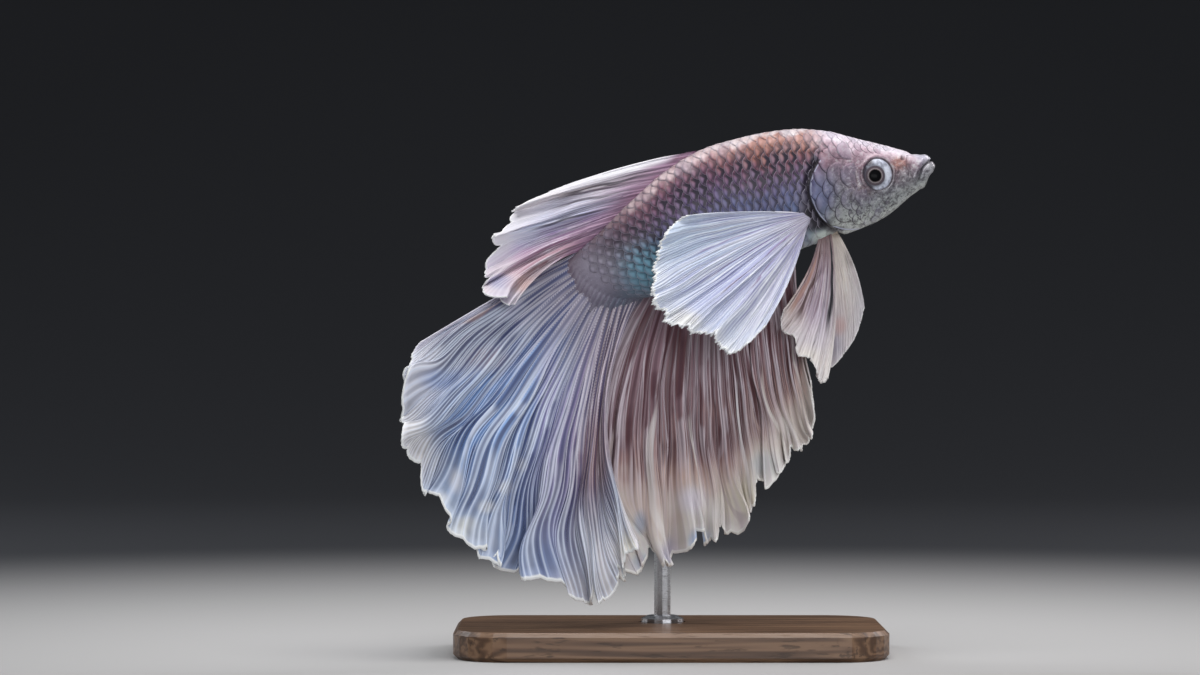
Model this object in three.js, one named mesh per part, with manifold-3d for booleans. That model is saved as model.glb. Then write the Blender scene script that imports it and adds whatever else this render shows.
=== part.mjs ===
// A male halfmoon betta (Betta splendens) of the "dumbo" form, with large white breast fins, at life
// size, held by a plain display stand. The fish turns: its back arches, its tail drops and swings to
// its right. Millimetres. +X towards the nose, +Z up, +Y the fish's left. The origin is the middle of
// the stand's underside.
import * as THREE from "three";
import { mergeVertices } from "three/addons/utils/BufferGeometryUtils.js";
import Module from "manifold-3d";

const wasm = await Module();
wasm.setup();

// ---- driving dimensions -------------------------------------------------------------------------
const GAP = 0.3; // clearance between neighbouring pieces
const HALF_WIDTH = 12; // cuts across the body reach this far to either side
const FIN_THICK = 0.8; // of every fin blade, measured across the fish
const PLATE_RISE = 0.35; // how far the gill covers stand proud of the flank

const EYE = { at: [28.8, 66.8], across: 2.1, thick: 1.5, offset: 2.35 };
const STAND = { length: 60, depth: 34, height: 4, corner: 7, bevel: 0.6 };
const ROD = { radius: 1.2, x: -1, y: 4.2, straightTo: 47, end: [-1, -0.6, 57], socket: 2.2 };
const COLLAR = { radius: 3, neck: 2.16, height: 1.3, edge: 0.9, sunk: 0.4 }; // the ring round the rod's foot

// The tail swings to the fish's right: the middle plane moves over by swing(x, z), more the further it
// is behind the shoulder.
const SWING = { shoulder: [14, 63], towards: [-0.92, -0.39], amount: 0.35, ease: 25 };

// Cuts across the body, nose first: the back, the underside, the half width and how high the widest place is.
const CUTS = [
  { back: [36.0, 69.3], under: [36.4, 67.1], half: 1.25, wide: 0.5 },
  { back: [34.4, 69.8], under: [34.5, 65.0], half: 2.15, wide: 0.5 },
  { back: [31.4, 70.6], under: [31.3, 61.9], half: 3.0, wide: 0.52 },
  { back: [26.9, 71.7], under: [27.5, 59.7], half: 3.85, wide: 0.52 },
  { back: [23.2, 72.6], under: [24.0, 58.8], half: 4.3, wide: 0.5 },
  { back: [19.4, 73.1], under: [21.0, 57.6], half: 4.45, wide: 0.52 },
  { back: [14.3, 73.1], under: [16.9, 56.1], half: 4.45, wide: 0.54 },
  { back: [8.9, 72.0], under: [13.3, 55.0], half: 4.3, wide: 0.55 },
  { back: [3.8, 70.3], under: [9.7, 53.9], half: 4.0, wide: 0.56 },
  { back: [-1.1, 67.2], under: [6.3, 52.7], half: 3.5, wide: 0.56 },
  { back: [-5.6, 63.2], under: [3.1, 51.3], half: 2.9, wide: 0.55 },
  { back: [-9.2, 59.7], under: [0.2, 50.2], half: 2.25, wide: 0.54 },
  { back: [-12.3, 56.9], under: [-2.0, 49.5], half: 1.55, wide: 0.52 },
  { back: [-14.5, 55.0], under: [-3.4, 49.2], half: 0.8, wide: 0.5 },
];
const NOSE = [36.75, 68.3];
const TAIL_BULGE = { reach: 2.2, start: 0.8 }; // the tail root's end is an arc, this far past its corners
const SECTION_FULLNESS = 0.88; // 1 is an ellipse, less is fuller

// ---- small helpers ------------------------------------------------------------------------------
const TURN = 2 * Math.PI;

// Catmull-Rom through rows of numbers, t from 0 to 1.
function along(rows, t) {
  const last = rows.length - 1;
  const place = Math.min(Math.max(t, 0), 1) * last;
  const i = Math.min(Math.floor(place), last - 1);
  const f = place - i;
  const row = (k) => rows[Math.min(Math.max(k, 0), last)];
  const [a, b, c, d] = [row(i - 1), row(i), row(i + 1), row(i + 2)];
  return b.map((_, j) => {
    const rise = (c[j] - a[j]) * f;
    const curve = (2 * a[j] - 5 * b[j] + 4 * c[j] - d[j]) * f * f;
    const twist = (3 * b[j] - a[j] - 3 * c[j] + d[j]) * f * f * f;
    return b[j] + 0.5 * (rise + curve + twist);
  });
}

function smooth(low, high, value) {
  const t = Math.min(Math.max((value - low) / (high - low), 0), 1);
  return t * t * (3 - 2 * t);
}

function swing(x, z) {
  const { shoulder, towards, amount, ease } = SWING;
  const behind = Math.max(0, (x - shoulder[0]) * towards[0] + (z - shoulder[1]) * towards[1]);
  return (-amount * behind * behind) / (behind + ease);
}

// A closed surface from vertices and faces, turned to face outwards.
function closed(vertices, faces) {
  const volume = faces.reduce((sum, [a, b, c]) => {
    const [p, q, r] = [a, b, c].map((k) => new THREE.Vector3(...vertices[k]));
    return sum + p.dot(q.cross(r));
  }, 0);
  const order = volume < 0 ? faces.map(([a, b, c]) => [a, c, b]) : faces;
  const geometry = new THREE.BufferGeometry();
  geometry.setAttribute("position", new THREE.Float32BufferAttribute(vertices.flat(), 3));
  geometry.setIndex(order.flat());
  return geometry;
}

function solidOf(geometry) {
  const bare = geometry.clone();
  bare.deleteAttribute("normal");
  bare.deleteAttribute("uv");
  const merged = mergeVertices(bare, 1e-4);
  const mesh = new wasm.Mesh({
    numProp: 3,
    vertProperties: new Float32Array(merged.attributes.position.array),
    triVerts: new Uint32Array(merged.index.array),
  });
  return new wasm.Manifold(mesh);
}

function geometryOf(solid) {
  const mesh = solid.getMesh();
  const geometry = new THREE.BufferGeometry();
  geometry.setAttribute("position", new THREE.Float32BufferAttribute(mesh.vertProperties, 3));
  geometry.setIndex(new THREE.Uint32BufferAttribute(mesh.triVerts, 1));
  return geometry;
}

// The largest separate piece of a solid, without the crumbs that a cut can leave.
function largest(solid) {
  return solid.decompose().sort((a, b) => b.volume() - a.volume())[0];
}

// A flat outline in X and Z, extruded across the fish from one Y to another.
function slab(outline, fromY, toY) {
  const shape = new THREE.Shape(outline.map(([x, z]) => new THREE.Vector2(x, z)));
  const geometry = new THREE.ExtrudeGeometry(shape, { depth: toY - fromY, bevelEnabled: false });
  geometry.rotateX(Math.PI / 2);
  geometry.translate(0, toY, 0);
  return solidOf(geometry);
}

// A thin cut right through the fish along a smooth line in X and Z.
function thinCut(line, width = GAP, steps = 10) {
  const sides = [[], []];
  for (let i = 0; i <= steps; i++) {
    const here = along(line, i / steps);
    const before = along(line, (i - 0.5) / steps);
    const after = along(line, (i + 0.5) / steps);
    const [dx, dz] = [after[0] - before[0], after[1] - before[1]];
    const size = Math.hypot(dx, dz);
    const [nx, nz] = [(-dz / size) * (width / 2), (dx / size) * (width / 2)];
    sides[0].push([here[0] + nx, here[1] + nz]);
    sides[1].unshift([here[0] - nx, here[1] - nz]);
  }
  return slab([...sides[0], ...sides[1]], -HALF_WIDTH, HALF_WIDTH);
}

// ---- body ---------------------------------------------------------------------------------------
// A point on the body's surface. s runs from nose to tail root, and angle goes round from the underside
// up the left.
function bodyPoint(s, angle, grow) {
  const [bx, bz, ux, uz, half, wide] = along(CUTS.map((c) => [...c.back, ...c.under, c.half, c.wide]), s);
  const rise = -Math.cos(angle);
  const share = wide + (rise > 0 ? 1 - wide : wide) * rise;
  const size = Math.hypot(bx - ux, bz - uz);
  const stretch = grow / size;
  const height = share * (1 + 2 * stretch) - stretch;
  const bulge = (TAIL_BULGE.reach * (1 - (2 * share - 1) ** 2) + grow) * smooth(TAIL_BULGE.start, 1, s);
  const x = ux + (bx - ux) * height - ((bz - uz) / size) * bulge;
  const z = uz + (bz - uz) * height - ((ux - bx) / size) * bulge;
  const side = Math.sin(angle);
  const y = Math.sign(side) * Math.abs(side) ** SECTION_FULLNESS * (half + grow);
  return [x, swing(x, z) + y, z];
}

function bodySolid(grow, rings = 26, around = 22) {
  const vertices = [];
  const faces = [];
  for (let i = 0; i <= rings; i++) {
    for (let j = 0; j < around; j++) vertices.push(bodyPoint(i / rings, (TURN * j) / around, grow));
  }
  for (let i = 0; i < rings; i++) {
    for (let j = 0; j < around; j++) {
      const [a, b] = [i * around + j, i * around + ((j + 1) % around)];
      faces.push([a, b, a + around], [b, b + around, a + around]);
    }
  }
  const end = (ring) => {
    const centre = new THREE.Vector3();
    for (let j = 0; j < around; j++) centre.add(new THREE.Vector3(...vertices[ring * around + j]));
    return centre.divideScalar(around).toArray();
  };
  const nose = vertices.push([NOSE[0] + grow, 0, NOSE[1]]) - 1;
  const tail = vertices.push(end(rings)) - 1;
  for (let j = 0; j < around; j++) {
    const k = (j + 1) % around;
    faces.push([nose, k, j], [tail, rings * around + j, rings * around + k]);
  }
  return solidOf(closed(vertices, faces));
}

// Where the head ends: over the nape, down behind the gill cover and forward under the throat.
const GILL_LINE = [
  [22.4, 76],
  [21.6, 71.6],
  [20.3, 68.2],
  [19.3, 65.3],
  [19.5, 62.6],
  [21.0, 60.3],
  [23.4, 59.2],
  [27.5, 57.2],
];
const MOUTH_LINE = [
  [38.0, 69.4],
  [36.4, 68.6],
  [35.0, 67.5],
  [34.0, 65.8],
  [33.7, 64.0],
  [34.2, 61.5],
];
const TAIL_LINE = [
  [-14, 62],
  [-9.0, 57.6],
  [-4.6, 53.6],
  [-0.4, 49.0],
  [1.5, 45.0],
];
// A gill cover's outline, from its top corner down the rear edge and up the cheek.
const GILL_COVER = [
  [20.9, 68.0],
  [19.9, 65.3],
  [20.1, 62.8],
  [21.5, 60.8],
  [24.0, 60.2],
  [25.1, 62.6],
  [24.9, 65.4],
  [23.4, 67.6],
];
const GILL_COVER_DEPTH = 2.7; // the covers' inner face, from the middle plane

function coverSlab(side, shrink) {
  const middle = [0, 1].map((k) => GILL_COVER.reduce((sum, p) => sum + p[k], 0) / GILL_COVER.length);
  const ring = [...GILL_COVER, GILL_COVER[0]];
  const points = [];
  const corners = 14;
  for (let i = 0; i < corners; i++) {
    const p = along(ring, i / corners);
    const size = Math.hypot(p[0] - middle[0], p[1] - middle[1]);
    const keep = 1 - shrink / size;
    points.push([middle[0] + (p[0] - middle[0]) * keep, middle[1] + (p[1] - middle[1]) * keep]);
  }
  const inner = GILL_COVER_DEPTH + shrink;
  return side > 0 ? slab(points, inner, HALF_WIDTH) : slab(points, -HALF_WIDTH, -inner);
}

function eyeSolid(side, grow) {
  const ball = new THREE.SphereGeometry(1, 14, 8);
  ball.rotateX(Math.PI / 2);
  ball.scale(EYE.across + grow, EYE.thick + grow, EYE.across + grow);
  ball.translate(EYE.at[0], side * EYE.offset, EYE.at[1]);
  return solidOf(ball);
}

// ---- fins ---------------------------------------------------------------------------------------
// A fin is a fan of rays. base runs along the body and tips along the margin, both from the fin's
// leading edge to its last ray, as [x, z]. bow bends the rays sideways, lean carries the margin out of
// the middle plane, lobes scallop the margin (a sharpness over 1 gives points, under 1 gives rounded
// lobes) and folds are the blade's waves.
const FINS = {
  dorsal_fin: {
    base: [[2.6, 70.0], [-3.2, 64.8], [-8.2, 60.0], [-11.4, 57.4]],
    tips: [[-16.0, 64.2], [-21.8, 61.0], [-24.8, 57.0], [-25.2, 52.4], [-25.6, 49.0], [-21.6, 46.9]],
    bow: [[0.04], [0.04], [0.06], [0.16]],
    lean: [[0.8], [-0.6], [-1.8], [-3.4]],
    leanPower: 0.8,
    lobes: { count: 6, depth: 0.11, sharpness: 0.7, drift: 0.35 },
    folds: { count: 4.5, depth: 0.9, drift: 0.2 },
    columns: 32,
    rows: 4,
  },
  caudal_fin: {
    base: [[-13.6, 55.6], [-11.6, 52.2], [-8.4, 50.2], [-4.2, 49.9]],
    tips: [
      [-35.2, 43.0], [-37.2, 37.2], [-36.6, 28.6], [-33.0, 21.0], [-27.0, 14.2],
      [-19.8, 10.6], [-11.4, 6.9], [-7.4, 9.4], [-4.2, 15.4],
    ],
    bow: [[0.01], [0.08], [0.1], [0.08], [0.11], [0.27]],
    lean: [[2.4], [0.6], [-0.4], [0.6], [-1.2], [-3.6]],
    leanPower: 1.0,
    lobes: { count: 13, depth: 0.055, sharpness: 0.6, drift: 0.3 },
    folds: { count: 7, depth: 1.0, drift: 0.18 },
    columns: 60,
    rows: 4,
  },
  anal_fin: {
    base: [[17.4, 57.0], [11.4, 55.2], [4.4, 52.9], [-2.2, 50.6]],
    tips: [
      [19.8, 37.2], [20.3, 31.6], [18.1, 26.6], [15.2, 24.6], [12.2, 21.0],
      [9.4, 16.2], [5.0, 14.9], [1.4, 12.9], [-2.4, 10.6], [-7.0, 10.2],
    ],
    bow: [[0.06], [0.05], [0.08], [0.32]],
    lean: [[0.2], [0.6], [1.0], [3.2]],
    leanPower: 1.1,
    lobes: { count: 11, depth: 0.1, sharpness: 1.4, drift: 0.35 },
    folds: { count: 12, depth: 0.8, drift: 0.12 },
    columns: 60,
    rows: 4,
  },
};

// The paired fins, as they are on the fish's right. The left ones are turned over, in a slightly other pose.
const PAIRED = {
  pectoral_fin: {
    base: [[19.0, 61.3], [19.3, 59.8], [19.4, 58.3]],
    tips: [
      [1.6, 60.2], [-2.2, 56.2], [-2.5, 51.6], [-1.8, 47.6], [1.0, 45.6],
      [4.2, 44.6], [7.8, 42.0], [12.0, 45.4],
    ],
    bow: [[0.05], [0.04], [0.01], [-0.04], [-0.09]],
    root: 3.4,
    lean: [[9.5], [11.5], [12.0], [11.0], [9.0]],
    leanPower: 1.1,
    lobes: { count: 5, depth: 0.06, sharpness: 0.6, drift: 0.3 },
    folds: { count: 5, depth: 0.55, drift: 0.2 },
    columns: 26,
    rows: 3,
  },
  ventral_fin: {
    base: [[22.6, 58.2], [21.6, 58.0], [20.7, 57.9]],
    tips: [[21.4, 36.6], [19.9, 39.0], [17.7, 41.4], [15.6, 44.4], [15.2, 47.4]],
    bow: [[-0.1], [-0.12], [-0.14]],
    root: 1.3,
    lean: [[2.6], [2.6], [1.8]],
    leanPower: 1.1,
    lobes: { count: 3, depth: 0.08, sharpness: 1.4, drift: 0.1 },
    folds: { count: 1.5, depth: 0.5, drift: 0 },
    columns: 12,
    rows: 4,
  },
};
// The left ventral fin is spread forward of the right one.
const FORWARD_VENTRAL = {
  base: [[23.6, 58.8], [22.8, 58.5], [22.0, 58.2]],
  tips: [[27.5, 47.9], [26.3, 44.2], [24.4, 41.4], [22.5, 39.6], [21.6, 43.4]],
  bow: [[0.14], [0.08], [0.0]],
};
const LEFT_PECTORAL = { lean: [[8.0], [10.5], [12.0], [12.0], [10.5]] };

// How far a ray reaches, 1 at the top of a lobe of the scalloped margin.
function reach(lobes, s) {
  const wave = lobes.count * s + lobes.drift * Math.sin(TURN * 1.6 * s + 0.7);
  const lobe = Math.abs(Math.sin(Math.PI * wave)) ** lobes.sharpness;
  return 1 - lobes.depth * (1 - lobe);
}

// A point on a fin's middle surface: s goes from ray to ray and t out along a ray. side is 0 for an
// unpaired fin.
function finPoint(fin, s, t, side) {
  const [bx, bz] = along(fin.base, s);
  const [tx, tz] = along(fin.tips, s);
  const [bow] = along(fin.bow, s);
  const [lean] = along(fin.lean, s);
  const [mx, mz] = [(bx + tx) / 2 + (tz - bz) * bow, (bz + tz) / 2 - (tx - bx) * bow];
  const r = t * reach(fin.lobes, s);
  const x = (1 - r) ** 2 * bx + 2 * r * (1 - r) * mx + r * r * tx;
  const z = (1 - r) ** 2 * bz + 2 * r * (1 - r) * mz + r * r * tz;
  const { count, depth, drift } = fin.folds;
  const fold = depth * t ** 1.2 * Math.sin(TURN * (count * s + drift * Math.sin(TURN * 1.3 * s)));
  const out = lean * t ** fin.leanPower;
  const across = side ? side * (fin.root + out) : out;
  return [x, swing(x, z) + across + fold, z];
}

// The blade as a closed solid: two skins a thickness apart, joined round the edge.
function finSolid(fin, side) {
  const { columns, rows } = fin;
  const vertices = [];
  const faces = [];
  for (const offset of [-FIN_THICK / 2, FIN_THICK / 2]) {
    for (let i = 0; i <= columns; i++) {
      for (let j = 0; j <= rows; j++) {
        const [x, y, z] = finPoint(fin, i / columns, j / rows, side);
        vertices.push([x, y + offset, z]);
      }
    }
  }
  const layer = (columns + 1) * (rows + 1);
  const at = (i, j, k) => k * layer + i * (rows + 1) + j;
  for (let i = 0; i < columns; i++) {
    for (let j = 0; j < rows; j++) {
      const near = [at(i, j, 0), at(i + 1, j, 0), at(i + 1, j + 1, 0), at(i, j + 1, 0)];
      const far = near.map((v) => v + layer);
      faces.push([near[0], near[1], near[2]], [near[0], near[2], near[3]]);
      faces.push([far[0], far[2], far[1]], [far[0], far[3], far[2]]);
    }
  }
  const wall = (a, b) => faces.push([b, a, a + layer], [b, a + layer, b + layer]);
  for (let i = 0; i < columns; i++) {
    wall(at(i, 0, 0), at(i + 1, 0, 0));
    wall(at(i + 1, rows, 0), at(i, rows, 0));
  }
  for (let j = 0; j < rows; j++) {
    wall(at(0, j + 1, 0), at(0, j, 0));
    wall(at(columns, j, 0), at(columns, j + 1, 0));
  }
  return solidOf(closed(vertices, faces));
}

// ---- stand --------------------------------------------------------------------------------------
class RodPath extends THREE.Curve {
  getPoint(t, target = new THREE.Vector3()) {
    const foot = new THREE.Vector3(ROD.x, ROD.y, STAND.height - ROD.socket);
    const top = new THREE.Vector3(ROD.x, ROD.y, ROD.straightTo);
    const end = new THREE.Vector3(...ROD.end);
    const bend = new THREE.Vector3(ROD.x, ROD.y, (ROD.straightTo + ROD.end[2]) / 2 + 1.5);
    const straight = 0.5;
    if (t < straight) return target.lerpVectors(foot, top, t / straight);
    const r = (t - straight) / (1 - straight);
    return target
      .copy(top)
      .multiplyScalar((1 - r) ** 2)
      .addScaledVector(bend, 2 * r * (1 - r))
      .addScaledVector(end, r * r);
  }
}

function rodSolid(radius) {
  const circle = new THREE.Shape().absarc(0, 0, radius, 0, TURN, false);
  const rod = new THREE.ExtrudeGeometry(circle, { steps: 12, curveSegments: 5, extrudePath: new RodPath() });
  return solidOf(rod);
}

function collarSolid(grow) {
  const low = STAND.height - COLLAR.sunk - grow;
  const profile = [
    [0, low],
    [COLLAR.radius + grow, low],
    [COLLAR.radius + grow, low + COLLAR.edge],
    [COLLAR.neck, low + COLLAR.height],
    [0, low + COLLAR.height],
  ];
  const ring = new THREE.LatheGeometry(profile.map(([r, z]) => new THREE.Vector2(r, z)), 16);
  ring.rotateX(Math.PI / 2);
  ring.translate(ROD.x, ROD.y, 0);
  return solidOf(ring);
}

function baseSolid() {
  const { length, depth, height, corner, bevel } = STAND;
  const [hx, hy] = [length / 2 - bevel, depth / 2 - bevel];
  const shape = new THREE.Shape();
  shape.moveTo(hx, corner - hy);
  shape.absarc(hx - corner, hy - corner, corner, 0, Math.PI / 2, false);
  shape.absarc(corner - hx, hy - corner, corner, Math.PI / 2, Math.PI, false);
  shape.absarc(corner - hx, corner - hy, corner, Math.PI, 1.5 * Math.PI, false);
  shape.absarc(hx - corner, corner - hy, corner, 1.5 * Math.PI, TURN, false);
  const plate = new THREE.ExtrudeGeometry(shape, {
    depth: height - 2 * bevel,
    bevelThickness: bevel,
    bevelSize: bevel,
    bevelSegments: 1,
    curveSegments: 3,
  });
  plate.translate(0, 0, bevel);
  return solidOf(plate);
}

// ---- the pieces ---------------------------------------------------------------------------------
const LOOKS = {
  head: { color: 0xa79aa6, roughness: 0.45 },
  trunk: { color: 0x9a8a9c, roughness: 0.4 },
  eye: { color: 0xc9ccd0, roughness: 0.15 },
  fin: { color: 0xb9b3c4, roughness: 0.5 },
  pectoral: { color: 0xdfe4f2, roughness: 0.5 },
  ventral: { color: 0xd9c8c0, roughness: 0.5 },
  wood: { color: 0x4a2f1f, roughness: 0.4 },
  steel: { color: 0xb8bcc0, roughness: 0.3, metalness: 1 },
};

const fish = new THREE.Group();

function place(name, solid, look) {
  const material = new THREE.MeshStandardMaterial({ metalness: 0, ...LOOKS[look] });
  const mesh = new THREE.Mesh(geometryOf(solid), material);
  mesh.name = name;
  fish.add(mesh);
}

const SIDES = { left: 1, right: -1 };
const bodyWithGap = bodySolid(GAP);
const rod = rodSolid(ROD.radius).add(collarSolid(0));
const rodSocket = rodSolid(ROD.radius + GAP);

// The body, parted by thin cuts: lower jaw, head, trunk and tail stalk, from the nose back.
const cuts = [MOUTH_LINE, GILL_LINE, TAIL_LINE].map((line) => thinCut(line));
const parted = cuts.reduce((solid, cut) => solid.subtract(cut), bodySolid(0));
const lengths = parted
  .decompose()
  .sort((a, b) => b.volume() - a.volume())
  .slice(0, 4)
  .sort((a, b) => b.boundingBox().max[0] - a.boundingBox().max[0]);
const [jaw, wholeHead, trunk, stalk] = lengths;

let head = wholeHead;
for (const [word, side] of Object.entries(SIDES)) {
  const cover = bodySolid(PLATE_RISE).intersect(coverSlab(side, GAP));
  head = head.subtract(coverSlab(side, 0)).subtract(eyeSolid(side, GAP / 2));
  place("gill_cover_" + word, largest(cover), "head");
  place("eye_" + word, eyeSolid(side, 0), "eye");
}
place("head", largest(head), "head");
place("lower_jaw", jaw, "head");
place("trunk", largest(trunk.subtract(rodSocket)), "trunk");
place("tail_stalk", largest(stalk.subtract(rodSocket)), "trunk");

for (const [name, fin] of Object.entries(FINS)) {
  place(name, largest(finSolid(fin, 0).subtract(bodyWithGap)), "fin");
}
for (const [word, side] of Object.entries(SIDES)) {
  const left = side > 0;
  const pectoral = { ...PAIRED.pectoral_fin, ...(left ? LEFT_PECTORAL : {}) };
  const ventral = { ...PAIRED.ventral_fin, ...(left ? FORWARD_VENTRAL : {}) };
  place("pectoral_fin_" + word, largest(finSolid(pectoral, side).subtract(bodyWithGap)), "pectoral");
  place("ventral_fin_" + word, largest(finSolid(ventral, side).subtract(bodyWithGap)), "ventral");
}

const base = baseSolid().subtract(rodSocket).subtract(collarSolid(GAP));
place("stand_base", largest(base), "wood");
place("stand_rod", rod, "steel");

export default fish;
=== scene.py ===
"""A male halfmoon betta as a life-size museum model: scaled skin, rayed veil fins and a plain stand.

Shapes are worked out in millimetres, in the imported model's frame, and made in metres. +X is towards
the nose, +Z up and +Y the fish's left. Tints are in hundredths of red, green and blue light.
"""

import functools
import itertools
import math

import bpy
import numpy as np
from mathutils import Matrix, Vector


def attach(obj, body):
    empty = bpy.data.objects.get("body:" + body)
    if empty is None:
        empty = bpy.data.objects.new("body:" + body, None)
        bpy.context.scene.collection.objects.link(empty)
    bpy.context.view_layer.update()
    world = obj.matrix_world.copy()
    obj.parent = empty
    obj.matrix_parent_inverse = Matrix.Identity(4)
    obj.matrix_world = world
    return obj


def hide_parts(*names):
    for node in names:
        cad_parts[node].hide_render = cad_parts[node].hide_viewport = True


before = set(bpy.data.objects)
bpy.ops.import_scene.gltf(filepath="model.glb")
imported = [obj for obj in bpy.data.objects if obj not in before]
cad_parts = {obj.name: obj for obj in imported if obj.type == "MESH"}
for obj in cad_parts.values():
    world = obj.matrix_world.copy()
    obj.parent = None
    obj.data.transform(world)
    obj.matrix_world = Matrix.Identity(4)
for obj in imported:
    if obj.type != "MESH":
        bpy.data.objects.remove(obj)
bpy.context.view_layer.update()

MM = 0.001
TURN = 2 * math.pi
FAR = 9.0  # millimetres, past the reach of every marking

# ---- the body's plain form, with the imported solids' sizes ------------------------------------------
SWING = {"shoulder": (14, 63), "towards": (-0.92, -0.39), "amount": 0.35, "ease": 25}
# Cuts across the body, nose first: back x, z, underside x, z, half width, height of the widest place.
CUTS = [
    (36.0, 69.3, 36.4, 67.1, 1.25, 0.50),
    (34.4, 69.8, 34.5, 65.0, 2.15, 0.50),
    (31.4, 70.6, 31.3, 61.9, 3.00, 0.52),
    (26.9, 71.7, 27.5, 59.7, 3.85, 0.52),
    (23.2, 72.6, 24.0, 58.8, 4.30, 0.50),
    (19.4, 73.1, 21.0, 57.6, 4.45, 0.52),
    (14.3, 73.1, 16.9, 56.1, 4.45, 0.54),
    (8.9, 72.0, 13.3, 55.0, 4.30, 0.55),
    (3.8, 70.3, 9.7, 53.9, 4.00, 0.56),
    (-1.1, 67.2, 6.3, 52.7, 3.50, 0.56),
    (-5.6, 63.2, 3.1, 51.3, 2.90, 0.55),
    (-9.2, 59.7, 0.2, 50.2, 2.25, 0.54),
    (-12.3, 56.9, -2.0, 49.5, 1.55, 0.52),
    (-14.5, 55.0, -3.4, 49.2, 0.80, 0.50),
]
NOSE = (36.75, 68.3)
TAIL_BULGE = {"reach": 2.2, "start": 0.8}
SECTION_FULLNESS = 0.88

# ---- small helpers --------------------------------------------------------------------------------


def along(rows, t):
    """Catmull-Rom through rows of numbers, for an array t from 0 to 1."""
    rows = np.asarray(rows, float)
    last = len(rows) - 1
    place = np.clip(t, 0, 1) * last
    i = np.minimum(np.asarray(place).astype(int), last - 1)
    f = (place - i)[..., None]
    a, b, c, d = (rows[np.clip(i + k, 0, last)] for k in (-1, 0, 1, 2))
    rise = (c - a) * f
    curve = (2 * a - 5 * b + 4 * c - d) * f**2
    twist = (3 * b - a - 3 * c + d) * f**3
    return b + 0.5 * (rise + curve + twist)


def number(values, t):
    """The same through single numbers."""
    return along([[value] for value in values], t)[..., 0]


def smooth(low, high, value):
    """0 up to low, 1 from high on, and smooth between them."""
    t = np.clip((value - low) / (high - low), 0, 1)
    return t * t * (3 - 2 * t)


def bell(distance, width):
    """A smooth bump, 1 at no distance."""
    return np.exp(-((distance / width) ** 2))


def ripple(x, seed, waves=((1, 1.0), (2.3, 0.6), (5.1, 0.35))):
    """Uneven smooth variation, from about -1 to 1: sines with seeded phases."""
    phases = np.random.default_rng(seed).uniform(0, TURN, len(waves))
    total = sum(size * np.sin(TURN * rate * x + p) for (rate, size), p in zip(waves, phases))
    return total / sum(size for _, size in waves)


def unit(vectors):
    return vectors / np.maximum(np.linalg.norm(vectors, axis=-1, keepdims=True), 1e-9)


def arc_lengths(points):
    """How far along a line of points each one lies."""
    return np.concatenate([[0], np.cumsum(np.linalg.norm(np.diff(points, axis=0), axis=1))])


def swing(x, z):
    """How far the fish's middle plane lies aside: it bends over behind the shoulder."""
    shoulder, towards = SWING["shoulder"], SWING["towards"]
    behind = np.maximum(0, (x - shoulder[0]) * towards[0] + (z - shoulder[1]) * towards[1])
    return -SWING["amount"] * behind**2 / (behind + SWING["ease"])


def line_distance(x, z, line, steps=60):
    """For places in the side view: the distance to a smooth line, which side they lie on, and how far
    along the line the nearest place is, from 0 to 1."""
    points = along(line, np.linspace(0, 1, steps + 1))
    best = np.full(x.shape, np.inf)
    side, place = np.zeros(x.shape), np.zeros(x.shape)
    for k, (start, end) in enumerate(zip(points[:-1], points[1:])):
        step = end - start
        dx, dz = x - start[0], z - start[1]
        part = np.clip((dx * step[0] + dz * step[1]) / np.hypot(*step) ** 2, 0, 1)
        far = np.hypot(dx - part * step[0], dz - part * step[1])
        nearer = far < best
        best = np.where(nearer, far, best)
        side = np.where(nearer, step[0] * dz - step[1] * dx, side)
        place = np.where(nearer, (k + part) / steps, place)
    return best, np.sign(side), place


def grid_faces(rows, columns, wrap=False):
    """Quads of a grid of points, counted along each row. wrap joins the last column to the first."""
    i = np.arange(rows - 1)[:, None]
    j = np.arange(columns if wrap else columns - 1)[None, :]
    k = (j + 1) % columns
    here, there = i * columns, (i + 1) * columns
    return np.stack([here + j, here + k, there + k, there + j], axis=-1).reshape(-1, 4)


def sheet_faces(rows, columns):
    """Quads of a closed sheet: a grid of points, one like it behind, and the wall between them."""
    layer = rows * columns
    face = grid_faces(rows, columns)
    grid = np.arange(layer).reshape(rows, columns)
    border = np.concatenate([grid[0, :-1], grid[:-1, -1], grid[-1, :0:-1], grid[:0:-1, 0]])
    after = np.roll(border, -1)
    wall = np.stack([after, border, border + layer, after + layer], axis=-1)
    return np.concatenate([face, face[:, ::-1] + layer, wall])


def fan_faces(centre, first, around):
    """Triangles from a centre point to a ring of points that starts with the first."""
    j = np.arange(around)
    return np.stack([np.full(around, centre), first + (j + 1) % around, first + j], axis=-1)


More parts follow.
